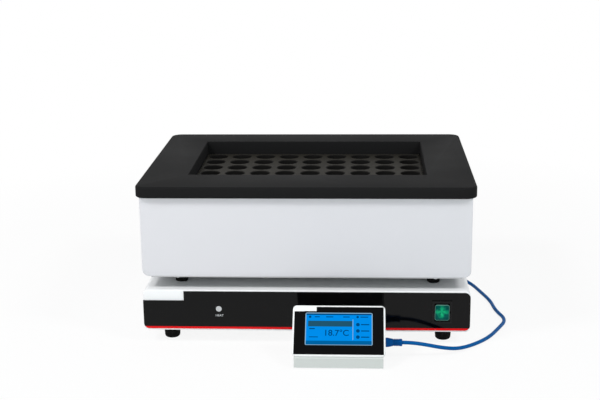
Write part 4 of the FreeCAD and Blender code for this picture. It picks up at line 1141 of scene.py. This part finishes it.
def makePicture():
    left, right, low, high = face["window"]
    layer, corner, rim = picture["layer"], picture["corner"], picture["rim"]
    base = face["glassDepth"] + layer
    marks = base + layer
    onFace([patch((left, low), (right, high), base, corner)], "screenPicture", screenBlue)
    clearSelection()
    frameLine = patch((left, low), (right, high), marks, corner)
    bpy.ops.object.mode_set(mode="EDIT")
    bpy.ops.mesh.select_all(action="SELECT")
    bpy.ops.mesh.inset(thickness=rim)
    bpy.ops.mesh.delete(type="FACE")
    bpy.ops.object.mode_set(mode="OBJECT")
    onFace([frameLine], "screenRim", screenPale)
    onFace([patch(*picture["titleBar"], marks)], "screenTitleBar", screenBar)
    footBar = patch((left + rim, low + rim), (right - rim, picture["footTop"]), marks)
    onFace([footBar], "screenFootBar", screenFoot)
    headBar = patch((left + rim, high - picture["headDeep"]), (right - rim, high - rim), marks)
    onFace([headBar], "screenHeadBar", screenMark)
    onFace([patch(*picture["divider"], marks)], "screenDivider", screenPale)
    parts = [words(picture["reading"], picture["readingSize"], picture["readingAt"], marks)]
    levels, (start, stop, half) = picture["keyLevels"], picture["keyMark"]
    parts += [disc((picture["keyAcross"], y), picture["keyRadius"], marks) for y in levels]
    parts += [patch((start, y - half), (stop, y + half), marks) for y in levels]
    parts += [disc(spot, picture["headDotRadius"], marks) for spot in picture["headDots"]]
    foot, top = picture["headMarkLevels"]
    parts += [patch((start, foot), (stop, top), marks) for start, stop in picture["headMarks"]]
    parts += [patch(*corners, marks) for corners in picture["sideMarks"]]
    onFace(parts, "screenMarks", screenMark)


makePicture()
print("screen picture made")


# The word under the heat indicator, printed on the gloss front

heatWord = {"size": 0.0047, "across": -0.1256, "baseline": 0.0412, "lift": 0.00005}


def markHeat():
    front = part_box("front_fascia")[0].y
    label = words("HEAT", heatWord["size"], (0, 0), 0)
    place = (heatWord["across"], front - heatWord["lift"], heatWord["baseline"])
    label.matrix_world = Matrix.Translation(place) @ Matrix.Rotation(math.pi / 2, 4, "X")
    settle(label, "heatWord", printPale)


markHeat()


# Stage: pale floor, soft light

studio = {
    "floorSize": 40.0,
    "floorWhiteNear": 0.88,
    "floorMiddle": (0.05, 0.05, 0.0),
    "floorReach": 1.1,
    "floorFade": 0.6,
    "floorColour": (0.9, 0.9, 0.9, 1),
    "floorRough": 0.9,
    "floorGloss": 0.1,
    "worldCamera": 1.0,
    "worldLight": 0.44,
    "worldColour": (0.97, 0.985, 1, 1),
    "rightTint": (0.62, 0.97, 1.0),
    "lamps": {
        "overheadLeft": ((-1.3, -0.95, 1.95), (0, -0.1, 0.15), 0.55, 22.5),
        "overheadRight": ((1.4, -0.95, 1.95), (0, -0.1, 0.15), 0.55, 17.5),
        "leftFront": ((-1.9, -2.9, 0.75), (0, 0, 0.1), 1.9, 20.5),
        "rightFront": ((2.0, -2.9, 0.75), (0, 0, 0.1), 1.9, 9.5),
    },
}


def whoLooks(tree):
    # one for the camera, for mirrors and for clear plastic, and none for the light on the object
    path = addNode(tree, "ShaderNodeLightPath")
    either = maths(tree, "MAXIMUM", path.outputs["Is Camera Ray"], path.outputs["Is Glossy Ray"])
    return maths(tree, "MAXIMUM", either, path.outputs["Is Transmission Ray"])


def makeStage():
    clearSelection()
    bpy.ops.mesh.primitive_plane_add(size=studio["floorSize"])
    floor = bpy.context.object
    floor.name = "floor"
    material, tree, shader = startMaterial("paleFloor")
    shader.inputs["Base Color"].default_value = studio["floorColour"]
    shader.inputs["Roughness"].default_value = studio["floorRough"]
    shader.inputs["Specular IOR Level"].default_value = studio["floorGloss"]
    seen = whoLooks(tree)
    place = addNode(tree, "ShaderNodeTexCoord")
    centred = addNode(tree, "ShaderNodeMapping", vector_type="TEXTURE")
    centred.inputs["Location"].default_value = studio["floorMiddle"]
    centred.inputs["Scale"].default_value = (studio["floorReach"],) * 3
    link(tree, place.outputs["Object"], centred.inputs["Vector"])
    ball = addNode(tree, "ShaderNodeTexGradient", gradient_type="SPHERICAL")
    link(tree, centred.outputs["Vector"], ball.inputs["Vector"])
    share = addNode(tree, "ShaderNodeMapRange")
    share.inputs["From Max"].default_value = studio["floorFade"]
    share.inputs["To Min"].default_value = 1.0
    share.inputs["To Max"].default_value = studio["floorWhiteNear"]
    link(tree, ball.outputs["Fac"], share.inputs["Value"])
    white = addNode(tree, "ShaderNodeEmission", Strength=1.0)
    mix = addNode(tree, "ShaderNodeMixShader")
    link(tree, maths(tree, "MULTIPLY", seen, share.outputs["Result"]), mix.inputs[0])
    link(tree, shader.outputs[0], mix.inputs[1])
    link(tree, white.outputs[0], mix.inputs[2])
    link(tree, mix.outputs[0], tree.nodes["Material Output"].inputs["Surface"])
    floor.data.materials.append(material)
    for name, (place, aim, size, power) in studio["lamps"].items():
        bpy.ops.object.light_add(type="AREA", location=place)
        lamp = bpy.context.object
        lamp.name = name
        lamp.data.shape = "DISK"
        lamp.data.size = size
        lamp.data.energy = power
        lamp.data.color = studio["rightTint"] if name == "rightFront" else (1, 1, 1)
        lamp.rotation_euler = (Vector(aim) - Vector(place)).to_track_quat("-Z", "Y").to_euler()
    world = bpy.data.worlds.new("studioWorld")
    bpy.context.scene.world = world
    world.use_nodes = True
    tree = world.node_tree
    white = tree.nodes["Background"]
    white.inputs["Color"].default_value = (1, 1, 1, 1)
    white.inputs["Strength"].default_value = studio["worldCamera"]
    lighting = addNode(tree, "ShaderNodeBackground", Strength=studio["worldLight"])
    lighting.inputs["Color"].default_value = studio["worldColour"]
    mix = addNode(tree, "ShaderNodeMixShader")
    link(tree, whoLooks(tree), mix.inputs[0])
    link(tree, lighting.outputs[0], mix.inputs[1])
    link(tree, white.outputs[0], mix.inputs[2])
    link(tree, mix.outputs[0], tree.nodes["World Output"].inputs["Surface"])


makeStage()
bpy.context.scene.view_settings.view_transform = "Standard"
print("stage and lamps set")
